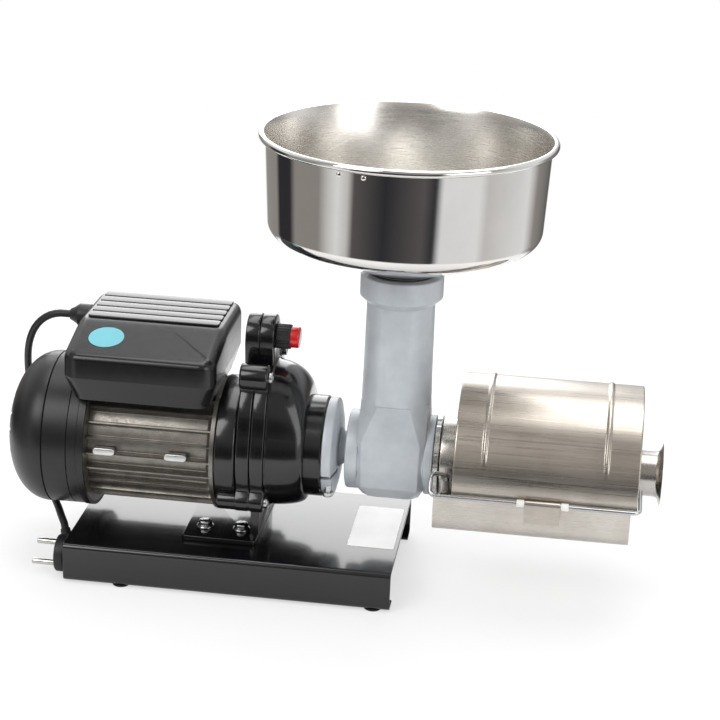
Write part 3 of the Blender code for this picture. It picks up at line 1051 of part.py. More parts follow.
def build_auger(plastic):
    """The feed screw: a shaft in the neck, a core and one helical flight that narrows with the sieve."""
    at = (0.0, 0.0, AXIS_HEIGHT)
    start = BODY_LEFT + AUGER_START
    stop = CONE_RIGHT - AUGER_END_GAP
    shoulder = BODY_LEFT + AUGER_START / 2
    auger = turned("auger", [(NECK_LEFT, AUGER_SHAFT_RADIUS), (shoulder, AUGER_SHAFT_RADIUS),
                             (shoulder, AUGER_CORE_RADIUS), (CONE_LEFT, AUGER_CORE_RADIUS),
                             (stop + AUGER_END_GAP * 0.75, AUGER_CORE_RADIUS * 0.6)], plastic, at=at, count=16)
    turns = (stop - start - FLIGHT_THICKNESS) / AUGER_PITCH
    steps = round(turns * 10)
    vertices, faces = [], []
    for step in range(steps + 1):
        angle = 2 * math.pi * turns * step / steps
        x = start + (stop - start - FLIGHT_THICKNESS) * step / steps
        tip = AUGER_BORE - AUGER_CLEARANCE
        if x + FLIGHT_THICKNESS > CONE_LEFT - SIEVE_WALL * 2:
            tip = min(tip, sieve_radius(x + FLIGHT_THICKNESS) - SIEVE_WALL - AUGER_CLEARANCE)
        root = AUGER_CORE_RADIUS * 0.45
        for radius, width in ((root, 0.0), (root, FLIGHT_THICKNESS), (tip, FLIGHT_THICKNESS * 0.75),
                              (tip, FLIGHT_THICKNESS * 0.25)):
            vertices.append((x + width, radius * math.cos(angle), radius * math.sin(angle)))
        if step:
            here, back = 4 * step, 4 * (step - 1)
            for side in range(4):
                other = (side + 1) % 4
                faces.append((back + side, back + other, here + other, here + side))
    faces += [(0, 1, 2, 3), tuple(4 * steps + side for side in (3, 2, 1, 0))]
    return combine(auger, add_mesh("flight", vertices, faces, None, at), "UNION")


def build_guard(stainless, wire_steel, white_plastic):
    """The splash guard hood, its wire clip with two bushes, and the finger tab."""
    left = GUARD_LEFT
    right = left + GUARD_LENGTH
    sheet = GUARD_SHEET
    droop = math.asin(GUARD_SKIRT / GUARD_RADIUS)

    def half_disc(radius, low):
        """Section of a half cylinder that is closed at a level below the axis."""
        angle = np.linspace(-math.asin(low / radius), math.pi + math.asin(low / radius), 33)
        return np.column_stack([radius * np.cos(angle), radius * np.sin(angle)])

    at = (0.0, 0.0, AXIS_HEIGHT)
    outer = half_disc(GUARD_RADIUS, GUARD_SKIRT)
    inner = half_disc(GUARD_RADIUS - sheet, GUARD_SKIRT + CUT_OVER)
    guard = loft("splash_guard", [(left, outer), (right, outer)], stainless, at=at)
    combine(guard, loft("inside", [(left + sheet, inner), (right - sheet, inner)], at=at), "DIFFERENCE")
    for radius, low, high in ((SIEVE_COLLAR_RADIUS + GAP, left - CUT_OVER, left + sheet + CUT_OVER),
                              (OUTLET_RADIUS + 2 * GAP, right - sheet - CUT_OVER, right + CUT_OVER)):
        saddle = loft("saddle", [(low, half_slot(radius)), (high, half_slot(radius))], at=at)
        combine(guard, saddle, "DIFFERENCE")
    wire_z = AXIS_HEIGHT - GUARD_SKIRT
    wire_y = -GUARD_RADIUS * math.cos(droop) - WIRE_STAND_OFF - WIRE_RADIUS
    end_x = right + 2 * GAP + WIRE_RADIUS
    loop_x = left - WIRE_LEFT_REACH
    wire_path = bent_path([(end_x, -GUARD_RADIUS * 0.55, wire_z + WIRE_ARM_RISE), (end_x, wire_y, wire_z),
                           (loop_x, wire_y, wire_z), (loop_x, wire_y + WIRE_LOOP[0], wire_z + WIRE_LOOP[1]),
                           (loop_x + WIRE_HOOK[0], wire_y + WIRE_HOOK[1], wire_z + WIRE_HOOK[2]),
                           (left - WIRE_TIP[0], wire_y + WIRE_TIP[1], wire_z + WIRE_TIP[2])], WIRE_BEND)
    wire = tube_curve("wire_clip", wire_path, WIRE_RADIUS, wire_steel, 2)
    middle = (left + right) / 2 - TAB_SHIFT
    bushes = []
    for number, side in ((1, -1), (2, 1)):
        centre = middle + side * BUSH_SPACING / 2
        bore = WIRE_RADIUS + GAP
        bush_low = BUSH_LENGTH / 2
        bush_at = (0.0, wire_y, wire_z)
        profile = [(centre - bush_low, bore), (centre - bush_low, BUSH_RADIUS),
                   (centre + bush_low, BUSH_RADIUS), (centre + bush_low, bore)]
        bushes.append(turned(f"wire_bush_{number}", profile,
                             white_plastic, at=bush_at, closed=True, count=20))
    return guard, wire, bushes, (middle, wire_y, wire_z)


def half_slot(radius):
    """Section of a slot that is round at the top and open downwards."""
    angle = np.linspace(0, math.pi, 17)
    arc = np.column_stack([radius * np.cos(angle), radius * np.sin(angle)])
    return np.vstack([arc, [(-radius, -2 * CUT_FAR), (radius, -2 * CUT_FAR)]])


def build_tab(stainless, place):
    """The finger tab that hangs from the wire between the bushes."""
    middle, wire_y, wire_z = place
    curl = WIRE_RADIUS + GAP + TAB_SHEET / 2
    arc = np.radians(np.linspace(-40, 180, 12))
    line = [(curl * math.cos(angle), curl * math.sin(angle)) for angle in arc]
    line.append((-curl, -TAB_DROP))
    path = np.array(line)
    chord = np.diff(path, axis=0)
    chord /= np.linalg.norm(chord, axis=1)[:, None]
    tangent = np.vstack([chord[:1], chord[:-1] + chord[1:], chord[-1:]])
    tangent /= np.linalg.norm(tangent, axis=1)[:, None]
    offset = np.column_stack([-tangent[:, 1], tangent[:, 0]]) * TAB_SHEET / 2
    section = np.vstack([path + offset, (path - offset)[::-1]])
    half = TAB_LENGTH / 2
    return loft("finger_tab", [(middle - half, section), (middle + half, section)], stainless,
                at=(0.0, wire_y, wire_z))


def build_tray(stainless):
    """The drip tray under the sieve: a trough with saddle ends and a drain."""
    right = GUARD_LEFT + GUARD_LENGTH - TRAY_END_GAP
    left = right - TRAY_LENGTH
    top = AXIS_HEIGHT - TRAY_TOP_DROP
    low = top - TRAY_HEIGHT
    half = TRAY_HALF_DEPTH - TRAY_SHEET / 2
    base = low + TRAY_SHEET / 2
    corners = [(-half, top), (-half, base), (half, base), (half, top)]
    section = sheet_section(corners, TRAY_SHEET, TRAY_CORNER, 5)
    tray = loft("drip_tray", [(left, section), (right, section)], stainless)
    outline = bent_path(corners, TRAY_CORNER, 5)
    for wall_left, radius in ((left + GAP, SIEVE_COLLAR_RADIUS + GAP),
                              (right - TRAY_SHEET - TRAY_WALL_INSET, OUTLET_RADIUS + 2 * GAP)):
        combine(tray, loft("end", [(wall_left, outline), (wall_left + TRAY_SHEET, outline)]), "UNION")
        angle = np.linspace(-math.pi, 0, 25)
        cut = np.vstack([np.column_stack([radius * np.cos(angle), radius * np.sin(angle)]),
                         [(radius, 2 * CUT_FAR), (-radius, 2 * CUT_FAR)]])
        saddle = loft("cut", [(wall_left - CUT_OVER, cut), (wall_left + TRAY_SHEET + CUT_OVER, cut)],
                      at=(0.0, 0.0, AXIS_HEIGHT))
        combine(tray, saddle, "DIFFERENCE")
    drain_x = (left + right) / 2 + TRAY_LENGTH * DRAIN_SHIFT
    hole(tray, DRAIN_RADIUS, low - CUT_OVER, low + TRAY_SHEET + CUT_OVER, "Z", (drain_x, 0.0, 0.0), 32)


def build():
    """Builds every piece and hangs the moving ones on their joint axes."""
    for leftover in list(bpy.data.objects):
        bpy.data.objects.remove(leftover)
    black_paint = finish("black_enamel", (0.010, 0.010, 0.011), 0.0, 0.22)
    satin = finish("black_plastic", (0.018, 0.018, 0.019), 0.0, 0.42)
    dark = finish("dark_plastic", (0.03, 0.03, 0.03), 0.0, 0.5)
    grey = finish("grey_plastic", (0.20, 0.20, 0.20), 0.0, 0.5)
    red = finish("red_plastic", (0.62, 0.02, 0.02), 0.0, 0.35)
    rubber = finish("rubber", (0.02, 0.02, 0.02), 0.0, 0.7)
    zinc = finish("zinc_plate", (0.62, 0.64, 0.66), 1.0, 0.28)
    aluminium = finish("aluminium", (0.62, 0.61, 0.59), 1.0, 0.42)
    cast = finish("silver_paint", (0.50, 0.52, 0.54), 0.2, 0.45)
    stainless = finish("stainless", (0.66, 0.65, 0.63), 1.0, 0.20)
    steel = finish("steel", (0.45, 0.45, 0.46), 1.0, 0.35)
    copper = finish("winding_copper", (0.55, 0.22, 0.10), 1.0, 0.4)
    bronze = finish("bronze", (0.55, 0.38, 0.18), 1.0, 0.35)
    white = finish("white_plastic", (0.85, 0.85, 0.84), 0.0, 0.45)
    nickel = finish("nickel", (0.70, 0.69, 0.66), 1.0, 0.2)

    channel = build_base(black_paint, rubber)
    build_pedestal(channel, black_paint, zinc)
    build_gearbox(black_paint, steel, dark, red, zinc)
    plastics = {"paint": black_paint, "satin": satin, "grey": grey}
    shaft, rotor, fan = build_motor(aluminium, plastics, steel, copper)
    idler, output = build_gears(steel, shaft)
    gland_left, gland_at = build_terminal_box(satin, aluminium)
    build_cord_and_plug(gland_left, gland_at, rubber, satin, nickel)
    build_clamp_ring(cast, zinc)
    build_strainer_body(cast, bronze)
    build_hopper(stainless)
    build_sieve_and_ring(stainless, aluminium)
    auger = build_auger(white)
    guard, wire, bushes, place = build_guard(stainless, zinc, white)
    tab = build_tab(stainless, place)
    build_tray(stainless)

    pivot("rotor_axis", (0.0, 0.0, MOTOR_HEIGHT), [shaft, rotor, fan])
    pivot("intermediate_axis", (0.0, 0.0, AXIS_HEIGHT + idler_rise()), list(idler))
    pivot("output_axis", (0.0, 0.0, AXIS_HEIGHT), [*output, auger])
    pivot("guard_lift_axis", (CONE_LEFT, 0.0, AXIS_HEIGHT), [guard, wire, tab, *bushes])


build()
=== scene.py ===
"""Electric tomato strainer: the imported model's finished look, in metres, +Z up, +X to the outlet."""
from __future__ import annotations

import logging
import math
from dataclasses import dataclass, field
from enum import Enum
from typing import Sequence

import bmesh
import bpy
import numpy as np
from mathutils import Matrix, Vector


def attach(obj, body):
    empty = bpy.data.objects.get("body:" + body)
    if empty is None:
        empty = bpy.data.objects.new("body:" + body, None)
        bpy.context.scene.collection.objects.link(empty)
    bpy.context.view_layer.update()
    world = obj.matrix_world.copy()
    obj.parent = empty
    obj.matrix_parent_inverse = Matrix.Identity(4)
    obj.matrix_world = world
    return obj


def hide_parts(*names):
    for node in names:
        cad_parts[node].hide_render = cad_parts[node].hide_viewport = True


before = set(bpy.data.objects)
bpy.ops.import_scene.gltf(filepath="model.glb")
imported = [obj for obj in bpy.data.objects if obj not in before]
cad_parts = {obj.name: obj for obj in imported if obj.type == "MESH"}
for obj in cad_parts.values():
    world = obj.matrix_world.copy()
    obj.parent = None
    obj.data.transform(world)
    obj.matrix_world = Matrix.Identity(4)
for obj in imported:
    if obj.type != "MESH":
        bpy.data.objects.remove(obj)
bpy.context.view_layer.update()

log = logging.getLogger("strainer")
Array = np.ndarray
GAP = 0.0003
AXIS_Z = 0.107
MOTOR_Z = 0.1045
THROAT_X = 0.04975


class Axis(Enum):
    """The axis along which a section is carried or a profile is turned."""

    X = 0
    Y = 1
    Z = 2


class Lay(Enum):
    """The way the marks of a brush or lathe run on a metal piece."""

    ALONG_X = "along x"
    ALONG_Y = "along y"
    UPRIGHT = "upright"
    ROUND_X = "round the shaft"
    ROUND_Z = "round the hopper"


# ---------------------------------------------------------------- finishes
def linear(code: str) -> tuple[float, float, float, float]:
    """Turns an sRGB hex colour to linear values.

    Args:
        code: six hex digits.

    Returns:
        Red, green, blue and alpha.
    """
    channel = np.array([int(code[start:start + 2], 16) for start in (0, 2, 4)]) / 255
    value = np.where(channel <= 0.04045, channel / 12.92, ((channel + 0.055) / 1.055) ** 2.4)
    return (*[float(part) for part in value], 1.0)


def node(tree: bpy.types.NodeTree, kind: str, settings: dict | None = None, links: dict | None = None):
    """Adds one shader node with its settings and links.

    Args:
        tree: the node tree it goes in.
        kind: Blender's name of the node.
        settings: socket or attribute to value; "stops" lists a ramp's places and colours.
        links: socket to the node and output that feed it.

    Returns:
        The new node.
    """
    made = tree.nodes.new(kind)
    for key, value in (settings or {}).items():
        if key == "stops":
            elements = made.color_ramp.elements
            while len(elements) < len(value):
                elements.new(0.5)
            for element, (place, colour) in zip(elements, value):
                element.position = place
                element.color = colour
        elif isinstance(key, int) or key in made.inputs:
            made.inputs[key].default_value = value
        else:
            setattr(made, key, value)
    for key, (source, output) in (links or {}).items():
        tree.links.new(source.outputs[output], made.inputs[key])
    return made


def arithmetic(tree: bpy.types.NodeTree, operation: str, *operands) -> bpy.types.Node:
    """Adds a Math node.

    Args:
        tree: the node tree that gets it.
        operation: what it works out, such as MULTIPLY.
        operands: numbers, or nodes with the outputs that feed the inputs.

    Returns:
        The node.
    """
    settings = {key: value for key, value in enumerate(operands) if not isinstance(value, tuple)}
    links = {key: value for key, value in enumerate(operands) if isinstance(value, tuple)}
    return node(tree, "ShaderNodeMath", {"operation": operation, **settings}, links)


@dataclass(frozen=True)
class Finish:
    """A moulded or painted surface: an even colour with a fine grain that breaks up its gloss.

    The grain is a noise whose spacing is grain_mm; it moves the roughness by uneven and lifts the
    surface by depth_mm. A second, slower noise, patch_mm across, shifts the colour towards shade.
    """

    name: str
    colour: str
    shade: str
    roughness: float
    slot: str
    metallic: float = 0.0
    grain_mm: float = 1.2
    depth_mm: float = 0.02
    uneven: float = 0.08
    patch_mm: float = 30.0
    coat: float = 0.0
    ior: float = 1.5

    def pattern(self, tree: bpy.types.NodeTree) -> tuple:
        """The coordinates of the grain.

        Args:
            tree: the material's node tree.

        Returns:
            A node and its output that give a position in metres.
        """
        return node(tree, "ShaderNodeTexCoord"), "Object"

    def make(self) -> bpy.types.Material:
        """Builds the material once and returns it."""
        if self.name in bpy.data.materials:
            return bpy.data.materials[self.name]
        material = bpy.data.materials.new(self.name)
        material.use_nodes = True
        tree = material.node_tree
        shader = tree.nodes["Principled BSDF"]
        place = self.pattern(tree)
        where = node(tree, "ShaderNodeTexCoord")
        grain = node(tree, "ShaderNodeTexNoise", {"Scale": 1000 / self.grain_mm, "Detail": 3.0},
                     {"Vector": place})
        patch = node(tree, "ShaderNodeTexNoise", {"Scale": 1000 / self.patch_mm, "Detail": 4.0,
                                                  "Roughness": 0.6},
                     {"Vector": (where, "Object")})
        tint = node(tree, "ShaderNodeValToRGB",
                    {"stops": [(0.35, linear(self.colour)), (0.70, linear(self.shade))]},
                    {"Fac": (patch, "Fac")})
        gloss = node(tree, "ShaderNodeMapRange", {"From Min": 0.25, "From Max": 0.75,
                                                  "To Min": max(0.02, self.roughness - self.uneven),
                                                  "To Max": min(1.0, self.roughness + self.uneven)},
                     {"Value": (grain, "Fac")})
        bump = node(tree, "ShaderNodeBump", {"Strength": 0.6, "Distance": self.depth_mm / 1000},
                    {"Height": (grain, "Fac")})
        tree.links.new(tint.outputs["Color"], shader.inputs["Base Color"])
        tree.links.new(gloss.outputs["Result"], shader.inputs["Roughness"])
        tree.links.new(bump.outputs["Normal"], shader.inputs["Normal"])
        shader.inputs["Metallic"].default_value = self.metallic
        shader.inputs["IOR"].default_value = self.ior
        shader.inputs["Coat Weight"].default_value = self.coat
        shader.inputs["Coat Roughness"].default_value = 0.08
        self.detail(tree, shader, tint, grain)
        return material

    def detail(self, tree: bpy.types.NodeTree, shader: bpy.types.Node, tint: bpy.types.Node,
               grain: bpy.types.Node) -> None:
        """Adds nothing on a plain finish."""


@dataclass(frozen=True)
class Brushed(Finish):
    """Metal with drawn or turned lines: the grain is stretched stretch times along the lay."""

    lay: Lay = Lay.ALONG_X
    stretch: float = 60.0
    centre: tuple[float, float, float] = (0.0, 0.0, 0.0)

    def pattern(self, tree: bpy.types.NodeTree) -> tuple:
        """Coordinates squeezed along the lay; round lays use the distance from the axis and the angle.

        Args:
            tree: the material's node tree.

        Returns:
            A node and its output that give a position in metres.
        """
        where = node(tree, "ShaderNodeTexCoord")
        moved = node(tree, "ShaderNodeMapping", {"Location": tuple(-value for value in self.centre)},
                     {"Vector": (where, "Object")})
        slow = 1 / self.stretch
        if self.lay in (Lay.ALONG_X, Lay.ALONG_Y, Lay.UPRIGHT):
            scale = {Lay.ALONG_X: (slow, 1, 1), Lay.ALONG_Y: (1, slow, 1), Lay.UPRIGHT: (1, 1,
                                                                                         slow)}[self.lay]
            return node(tree, "ShaderNodeMapping", {"Scale": scale}, {"Vector": (moved, "Vector")}), "Vector"
        parts = node(tree, "ShaderNodeSeparateXYZ", links={"Vector": (moved, "Vector")})
        along, side, up = ("Z", "X", "Y") if self.lay is Lay.ROUND_Z else ("X", "Y", "Z")
        square = arithmetic(tree, "MULTIPLY", (parts, side), (parts, side))
        total = arithmetic(tree, "MULTIPLY_ADD", (parts, up), (parts, up), (square, 0))
        radius = arithmetic(tree, "SQRT", (total, 0))
        angle = arithmetic(tree, "ARCTAN2", (parts, up), (parts, side))
        turn = arithmetic(tree, "MULTIPLY", (angle, 0), 0.05 * slow * 10)
        return node(tree, "ShaderNodeCombineXYZ", links={"X": (radius, 0), "Y": (parts, along),
                                                         "Z": (turn, 0)}), "Vector"


@dataclass(frozen=True)
class Perforated(Brushed):
    """Sheet with rows of round holes, drawn as dots of painted shade hole_mm apart round and along the cone.
    """

    hole_mm: float = 2.6
    start: float = 0.107
    stop: float = 0.236

    def detail(self, tree: bpy.types.NodeTree, shader: bpy.types.Node, tint: bpy.types.Node,
               grain: bpy.types.Node) -> None:
        """Paints shade for the holes' dark insides where the sine of the angle times the sine of the distance
        is high.

        Args:
            tree: the material's node tree.
            shader: its Principled node.
            tint: the node that gives the plain colour.
            grain: the brush's noise; not used.
        """
        where = node(tree, "ShaderNodeTexCoord")
        moved = node(tree, "ShaderNodeMapping", {"Location": tuple(-value for value in self.centre)},
                     {"Vector": (where, "Object")})
        parts = node(tree, "ShaderNodeSeparateXYZ", links={"Vector": (moved, "Vector")})
        angle = arithmetic(tree, "ARCTAN2", (parts, "Z"), (parts, "Y"))
        rounds = arithmetic(tree, "MULTIPLY", (angle, 0), 30.0)
        waves = arithmetic(tree, "SINE", (rounds, 0))
        steps = arithmetic(tree, "MULTIPLY", (parts, "X"), math.pi * 1000 / self.hole_mm)
        rows = arithmetic(tree, "SINE", (steps, 0))
        both = arithmetic(tree, "MULTIPLY", (waves, 0), (rows, 0))
        dots = node(tree, "ShaderNodeMapRange", {"From Min": 0.42, "From Max": 0.55}, {"Value": (both, 0)})
        after = arithmetic(tree, "GREATER_THAN", (parts, "X"), self.start)
        before = arithmetic(tree, "LESS_THAN", (parts, "X"), self.stop)
        held = arithmetic(tree, "MULTIPLY", (after, 0), (before, 0))
        hole_shade_mask = arithmetic(tree, "MULTIPLY", (dots, "Result"), (held, 0))
        # near-black 0b0b0b is painted shade standing in for the shaded insides of the holes
        mixed = node(tree, "ShaderNodeMix", {"data_type": "RGBA", 7: linear("0b0b0b")},
                     {0: (hole_shade_mask, 0), 6: (tint, "Color")})
        tree.links.new(mixed.outputs[2], shader.inputs["Base Color"])


# Stove enamel on pressed steel and cast iron: deep black with a wet gloss and a faint orange peel
ENAMEL = Finish("black_stove_enamel", "0c0c0e", "111113", 0.18, "black_enamel", grain_mm=3.5, depth_mm=0.015,
                uneven=0.03, coat=0.35)
# Moulded ABS: black, satin, with the fine bloom of a spark eroded mould
ABS = Finish("moulded_black_abs", "0b0b0c", "101011", 0.36, "black_plastic", grain_mm=1.0, depth_mm=0.010,
             uneven=0.05)
GLOSS_ABS = Finish("polished_black_abs", "101011", "141415", 0.22, "black_plastic", grain_mm=4.0,
                   depth_mm=0.003,
                   uneven=0.03)
# Glass filled nylon: a slightly greyer black
NYLON = Finish("black_nylon", "161617", "1d1d1e", 0.45, "dark_plastic", grain_mm=0.9, depth_mm=0.02)
GREY_NYLON = Finish("grey_nylon", "7d7f80", "73757a", 0.45, "grey_plastic", grain_mm=1.1)
WHITE_NYLON = Finish("white_nylon", "e6e5df", "dcdad2", 0.38, "white_plastic", grain_mm=1.0, depth_mm=0.012)
ACETAL = Finish("white_acetal", "e2e1da", "d6d4cc", 0.35, "white_plastic", grain_mm=1.4, depth_mm=0.01)
# Dyed polycarbonate push button: bright, smooth
RED_BUTTON = Finish("red_polycarbonate", "cf1216", "b60d12", 0.22, "red_plastic", grain_mm=2.0,
                    depth_mm=0.006,
                    uneven=0.04, coat=0.5)
PVC = Finish("black_pvc_sheath", "121213", "1a1a1b", 0.48, "rubber", grain_mm=1.3, depth_mm=0.02)
RUBBER = Finish("moulded_black_rubber", "161616", "1f1f1f", 0.75, "rubber", grain_mm=1.0, depth_mm=0.03)
# Aluminium lacquer over a sand casting: pale blue grey, low sparkle, soft pits
LACQUER = Finish("silver_lacquer_on_casting", "c0c5c9", "b2b8bd", 0.40, "silver_paint", metallic=0.15,
                 grain_mm=2.2,
                 depth_mm=0.10, uneven=0.08, patch_mm=18.0)
CAST_ALUMINIUM = Finish("die_cast_aluminium", "8f8b84", "78746e", 0.36, "aluminium", metallic=0.9,
                        grain_mm=1.4,
                        depth_mm=0.05, uneven=0.12, patch_mm=12.0)
RING_ALUMINIUM = Brushed("turned_aluminium", "c9c9c6", "b8b8b5", 0.28, "aluminium", metallic=1.0,
                         grain_mm=1.0,
                         depth_mm=0.003, uneven=0.05, lay=Lay.ROUND_X, centre=(0.0, 0.0, AXIS_Z))
# Cold rolled stainless sheet with a brushed grain, duller where it was handled
HOOD_STEEL = Brushed("brushed_stainless_hood", "bdb6ad", "aca59c", 0.30, "stainless", metallic=1.0,
                     grain_mm=1.1,
                     depth_mm=0.012, uneven=0.08, patch_mm=45.0, lay=Lay.ALONG_X)
TRAY_STEEL = Brushed("bright_stainless_tray", "c6c1ba", "b5afa7", 0.26, "stainless", metallic=1.0,
                     grain_mm=1.2,
                     depth_mm=0.012, uneven=0.06, patch_mm=40.0, lay=Lay.ALONG_X)
HOPPER_OUTSIDE = Brushed("polished_stainless_hopper", "dddbd8", "d2d0cd", 0.05, "stainless", metallic=1.0,
                         grain_mm=2.5, depth_mm=0.004, uneven=0.02, patch_mm=80.0, lay=Lay.ROUND_Z,
                         centre=(THROAT_X, 0.0, 0.0))
HOPPER_INSIDE = Brushed("spun_stainless_hopper", "dedbd6", "cfccc7", 0.26, "stainless", metallic=1.0,
                        grain_mm=1.1,
                        depth_mm=0.006, uneven=0.05, patch_mm=50.0, lay=Lay.ROUND_Z, centre=(THROAT_X, 0.0,
                                                                                             0.0))
SIEVE_STEEL = Perforated("perforated_stainless_sieve", "c2bfba", "b5b2ad", 0.25, "stainless", metallic=1.0,
                         grain_mm=1.2, depth_mm=0.002, uneven=0.05, lay=Lay.ROUND_X, centre=(0.0, 0.0,
                                                                                             AXIS_Z))
ZINC = Finish("bright_zinc_plate", "c5c7c6", "aeb1b3", 0.22, "zinc_plate", metallic=1.0, grain_mm=1.5,
              depth_mm=0.01)
STEEL = Brushed("machined_steel", "9b9b9a", "858584", 0.33, "steel", metallic=1.0, grain_mm=0.9,
                depth_mm=0.015,
                lay=Lay.ROUND_X, centre=(0.0, 0.0, AXIS_Z))
LAMINATION = Brushed("stacked_laminations", "77777a", "5d5d60", 0.42, "steel", metallic=1.0, grain_mm=0.7,
                     depth_mm=0.05, lay=Lay.ROUND_X, centre=(0.0, 0.0, MOTOR_Z))
COPPER = Finish("enamelled_copper_wire", "b5693a", "8f4c28", 0.30, "winding_copper", metallic=0.9,
                grain_mm=0.9,
                depth_mm=0.10)
BRONZE = Finish("sintered_bronze", "a98658", "947347", 0.42, "bronze", metallic=1.0, grain_mm=0.7,
                depth_mm=0.03)
NICKEL = Finish("nickel_plate", "cfcdc8", "bdbbb6", 0.16, "nickel", metallic=1.0, grain_mm=2.0,
                depth_mm=0.006)
CAN = Finish("drawn_aluminium_can", "dededc", "d0d0ce", 0.35, "aluminium", metallic=1.0, grain_mm=1.5)
# Printed vinyl left bare: plain turquoise film and plain white film
TURQUOISE = Finish("turquoise_vinyl", "35a6b4", "2f9aa9", 0.40, "white_plastic", grain_mm=1.0, depth_mm=0.006)
WHITE_FILM = Finish("white_vinyl_film", "f1f1ef", "e9e9e7", 0.35, "white_plastic", grain_mm=1.4,
                    depth_mm=0.006)


# ---------------------------------------------------------------- surfaces
def fillet(points: Sequence, radius: float | Sequence[float], closed: bool = False, steps: int = 5) -> Array:
    """Rounds the corners of a polyline: each corner becomes an arc that touches both its sides.

    The arc's centre lies on the corner's bisector at radius over the sine of half the corner's angle,
    and its points swing evenly from one touching point to the other.

    Args:
        points: corners in two or three dimensions.
        radius: one radius, or one for each corner.
        closed: whether the last point joins the first.
        steps: spans in each arc.

    Returns:
        The rounded points.
    """
    corner = np.asarray(points, float)
    wanted = np.broadcast_to(np.asarray(radius, float), (len(corner),))
    back, ahead = np.roll(corner, 1, 0) - corner, np.roll(corner, -1, 0) - corner
    length_back, length_ahead = (np.maximum(np.linalg.norm(side, axis=1), 1e-12) for side in (back, ahead))
    back, ahead = back / length_back[:, None], ahead / length_ahead[:, None]
    half = np.arccos(np.clip((back * ahead).sum(1), -0.999999, 0.999999)) / 2
    reach = np.minimum(wanted / np.tan(half), 0.49 * np.minimum(length_back, length_ahead))
    bisector = back + ahead
    bisector /= np.maximum(np.linalg.norm(bisector, axis=1), 1e-9)[:, None]
    centre = corner + bisector * (reach * np.tan(half) / np.sin(half))[:, None]
    start, end = corner + back * reach[:, None] - centre, corner + ahead * reach[:, None] - centre
    sweep = np.maximum(math.pi - 2 * half, 1e-4)[:, None, None]
    share = np.linspace(0, 1, steps + 1)[None, :, None]
    arcs = centre[:, None] + (start[:, None] * np.sin((1 - share) * sweep)
                              + end[:, None] * np.sin(share * sweep)) / np.sin(sweep)
    if closed:
        return arcs.reshape(-1, corner.shape[1])
    return np.vstack([corner[:1], arcs[1:-1].reshape(-1, corner.shape[1]), corner[-1:]])


def carried(stations: Array, rings: Array, axis: Axis, centre: Sequence[float] = (0.0, 0.0, 0.0)) -> Array:
    """Carries flat rings along an axis: point (i, j) is ring i's point j lifted to station i.

    Args:
        stations: one place along the axis for each ring.
        rings: rings by points by two.
        axis: where the rings are carried.
        centre: added to every point.

    Returns:
        A grid of points.
    """
    level = np.broadcast_to(np.asarray(stations, float)[:, None], rings.shape[:2])
    first, second = rings[..., 0], rings[..., 1]
    order = {Axis.X: (level, first, second), Axis.Y: (first, level, second), Axis.Z: (first, second,
                                                                                      level)}[axis]
    return np.stack(order, -1) + np.asarray(centre, float)


def turned(profile: Sequence, axis: Axis, centre: Sequence[float] = (0.0, 0.0, 0.0),
           count: int = 96) -> Array:
    """Turns a profile round an axis: radius times cosine and sine of the angle, at the profile's station.

    Args:
        profile: pairs of station and radius.
        axis: the axis of turning.
        centre: a point on the axis.
        count: points round.

    Returns:
        A grid of points.
    """
    line = np.asarray(profile, float)
    angle = np.arange(count) * (2 * math.pi / count)
    rings = line[:, 1, None, None] * np.stack([np.cos(angle), np.sin(angle)], -1)[None]
    return carried(line[:, 0], rings, axis, centre)


def outward(outline: Array) -> Array:
    """Normals of a closed anticlockwise outline, lengthened at corners so that offsets keep their width."""
    side = np.roll(outline, -1, 0) - outline
    side = np.stack([side[:, 1], -side[:, 0]], -1) / np.maximum(np.linalg.norm(side, axis=1), 1e-9)[:, None]
    both = side + np.roll(side, 1, 0)
    return both / np.maximum((both * both).sum(1, keepdims=True) / 2, 0.6)


def pillow(outline: Array, low: float, high: float, edge: float, axis: Axis,
           centre: Sequence[float] = (0.0, 0.0, 0.0), steps: int = 4) -> Array:
    """A prism with rounded rims: near each end the outline shrinks by edge times (1 - sine of the angle).

    Args:
        outline: closed anticlockwise points.
        low: first station.
        high: last station.
        edge: radius of both rims.
        axis: direction of the prism.
        centre: added to every point.
        steps: rings in each rim.

    Returns:
        A grid of points.
    """
    angle = np.linspace(0, math.pi / 2, steps + 1)
    inset = np.concatenate([1 - np.sin(angle), (1 - np.sin(angle))[::-1]]) * edge
    rise = (1 - np.cos(angle)) * edge
    stations = np.concatenate([low + rise, (high - rise)[::-1]])
    rings = outline[None] - outward(outline)[None] * inset[:, None, None]
    return carried(stations, rings, axis, centre)


def rounded_box(low: Sequence[float], high: Sequence[float], corner: float, steps: int = 6) -> Array:
    """Closed anticlockwise rectangle with round corners."""
    return fillet([(low[0], low[1]), (high[0], low[1]), (high[0], high[1]), (low[0], high[1])], corner,
                  True, steps)


def circle(radius: float, count: int = 64, centre: Sequence[float] = (0.0, 0.0)) -> Array:
    """Closed anticlockwise circle."""
    angle = np.arange(count) * (2 * math.pi / count)
    return np.stack([centre[0] + radius * np.cos(angle), centre[1] + radius * np.sin(angle)], -1)


def swept(path: Array, radius: float | Array, count: int = 16, up: Sequence[float] = (0.3, 0.4,
                                                                                      0.86)) -> Array:
    """A round bar along a path: a circle in the plane square to the path's direction at each point.

    Args:
        path: points in three dimensions.
        radius: one radius, or one for each point.
        count: points round the bar.
        up: a direction that the path never takes.

    Returns:
        A grid of points.
    """
    along = np.gradient(path, axis=0)
    along /= np.linalg.norm(along, axis=1)[:, None]
    side = np.cross(along, np.asarray(up, float))
    side /= np.linalg.norm(side, axis=1)[:, None]
    over = np.cross(side, along)
    angle = np.arange(count) * (2 * math.pi / count)
    reach = np.broadcast_to(np.asarray(radius, float), (len(path),))[:, None, None]
    return path[:, None] + reach * (np.cos(angle)[None, :, None] * side[:, None]
                                    + np.sin(angle)[None, :, None] * over[:, None])


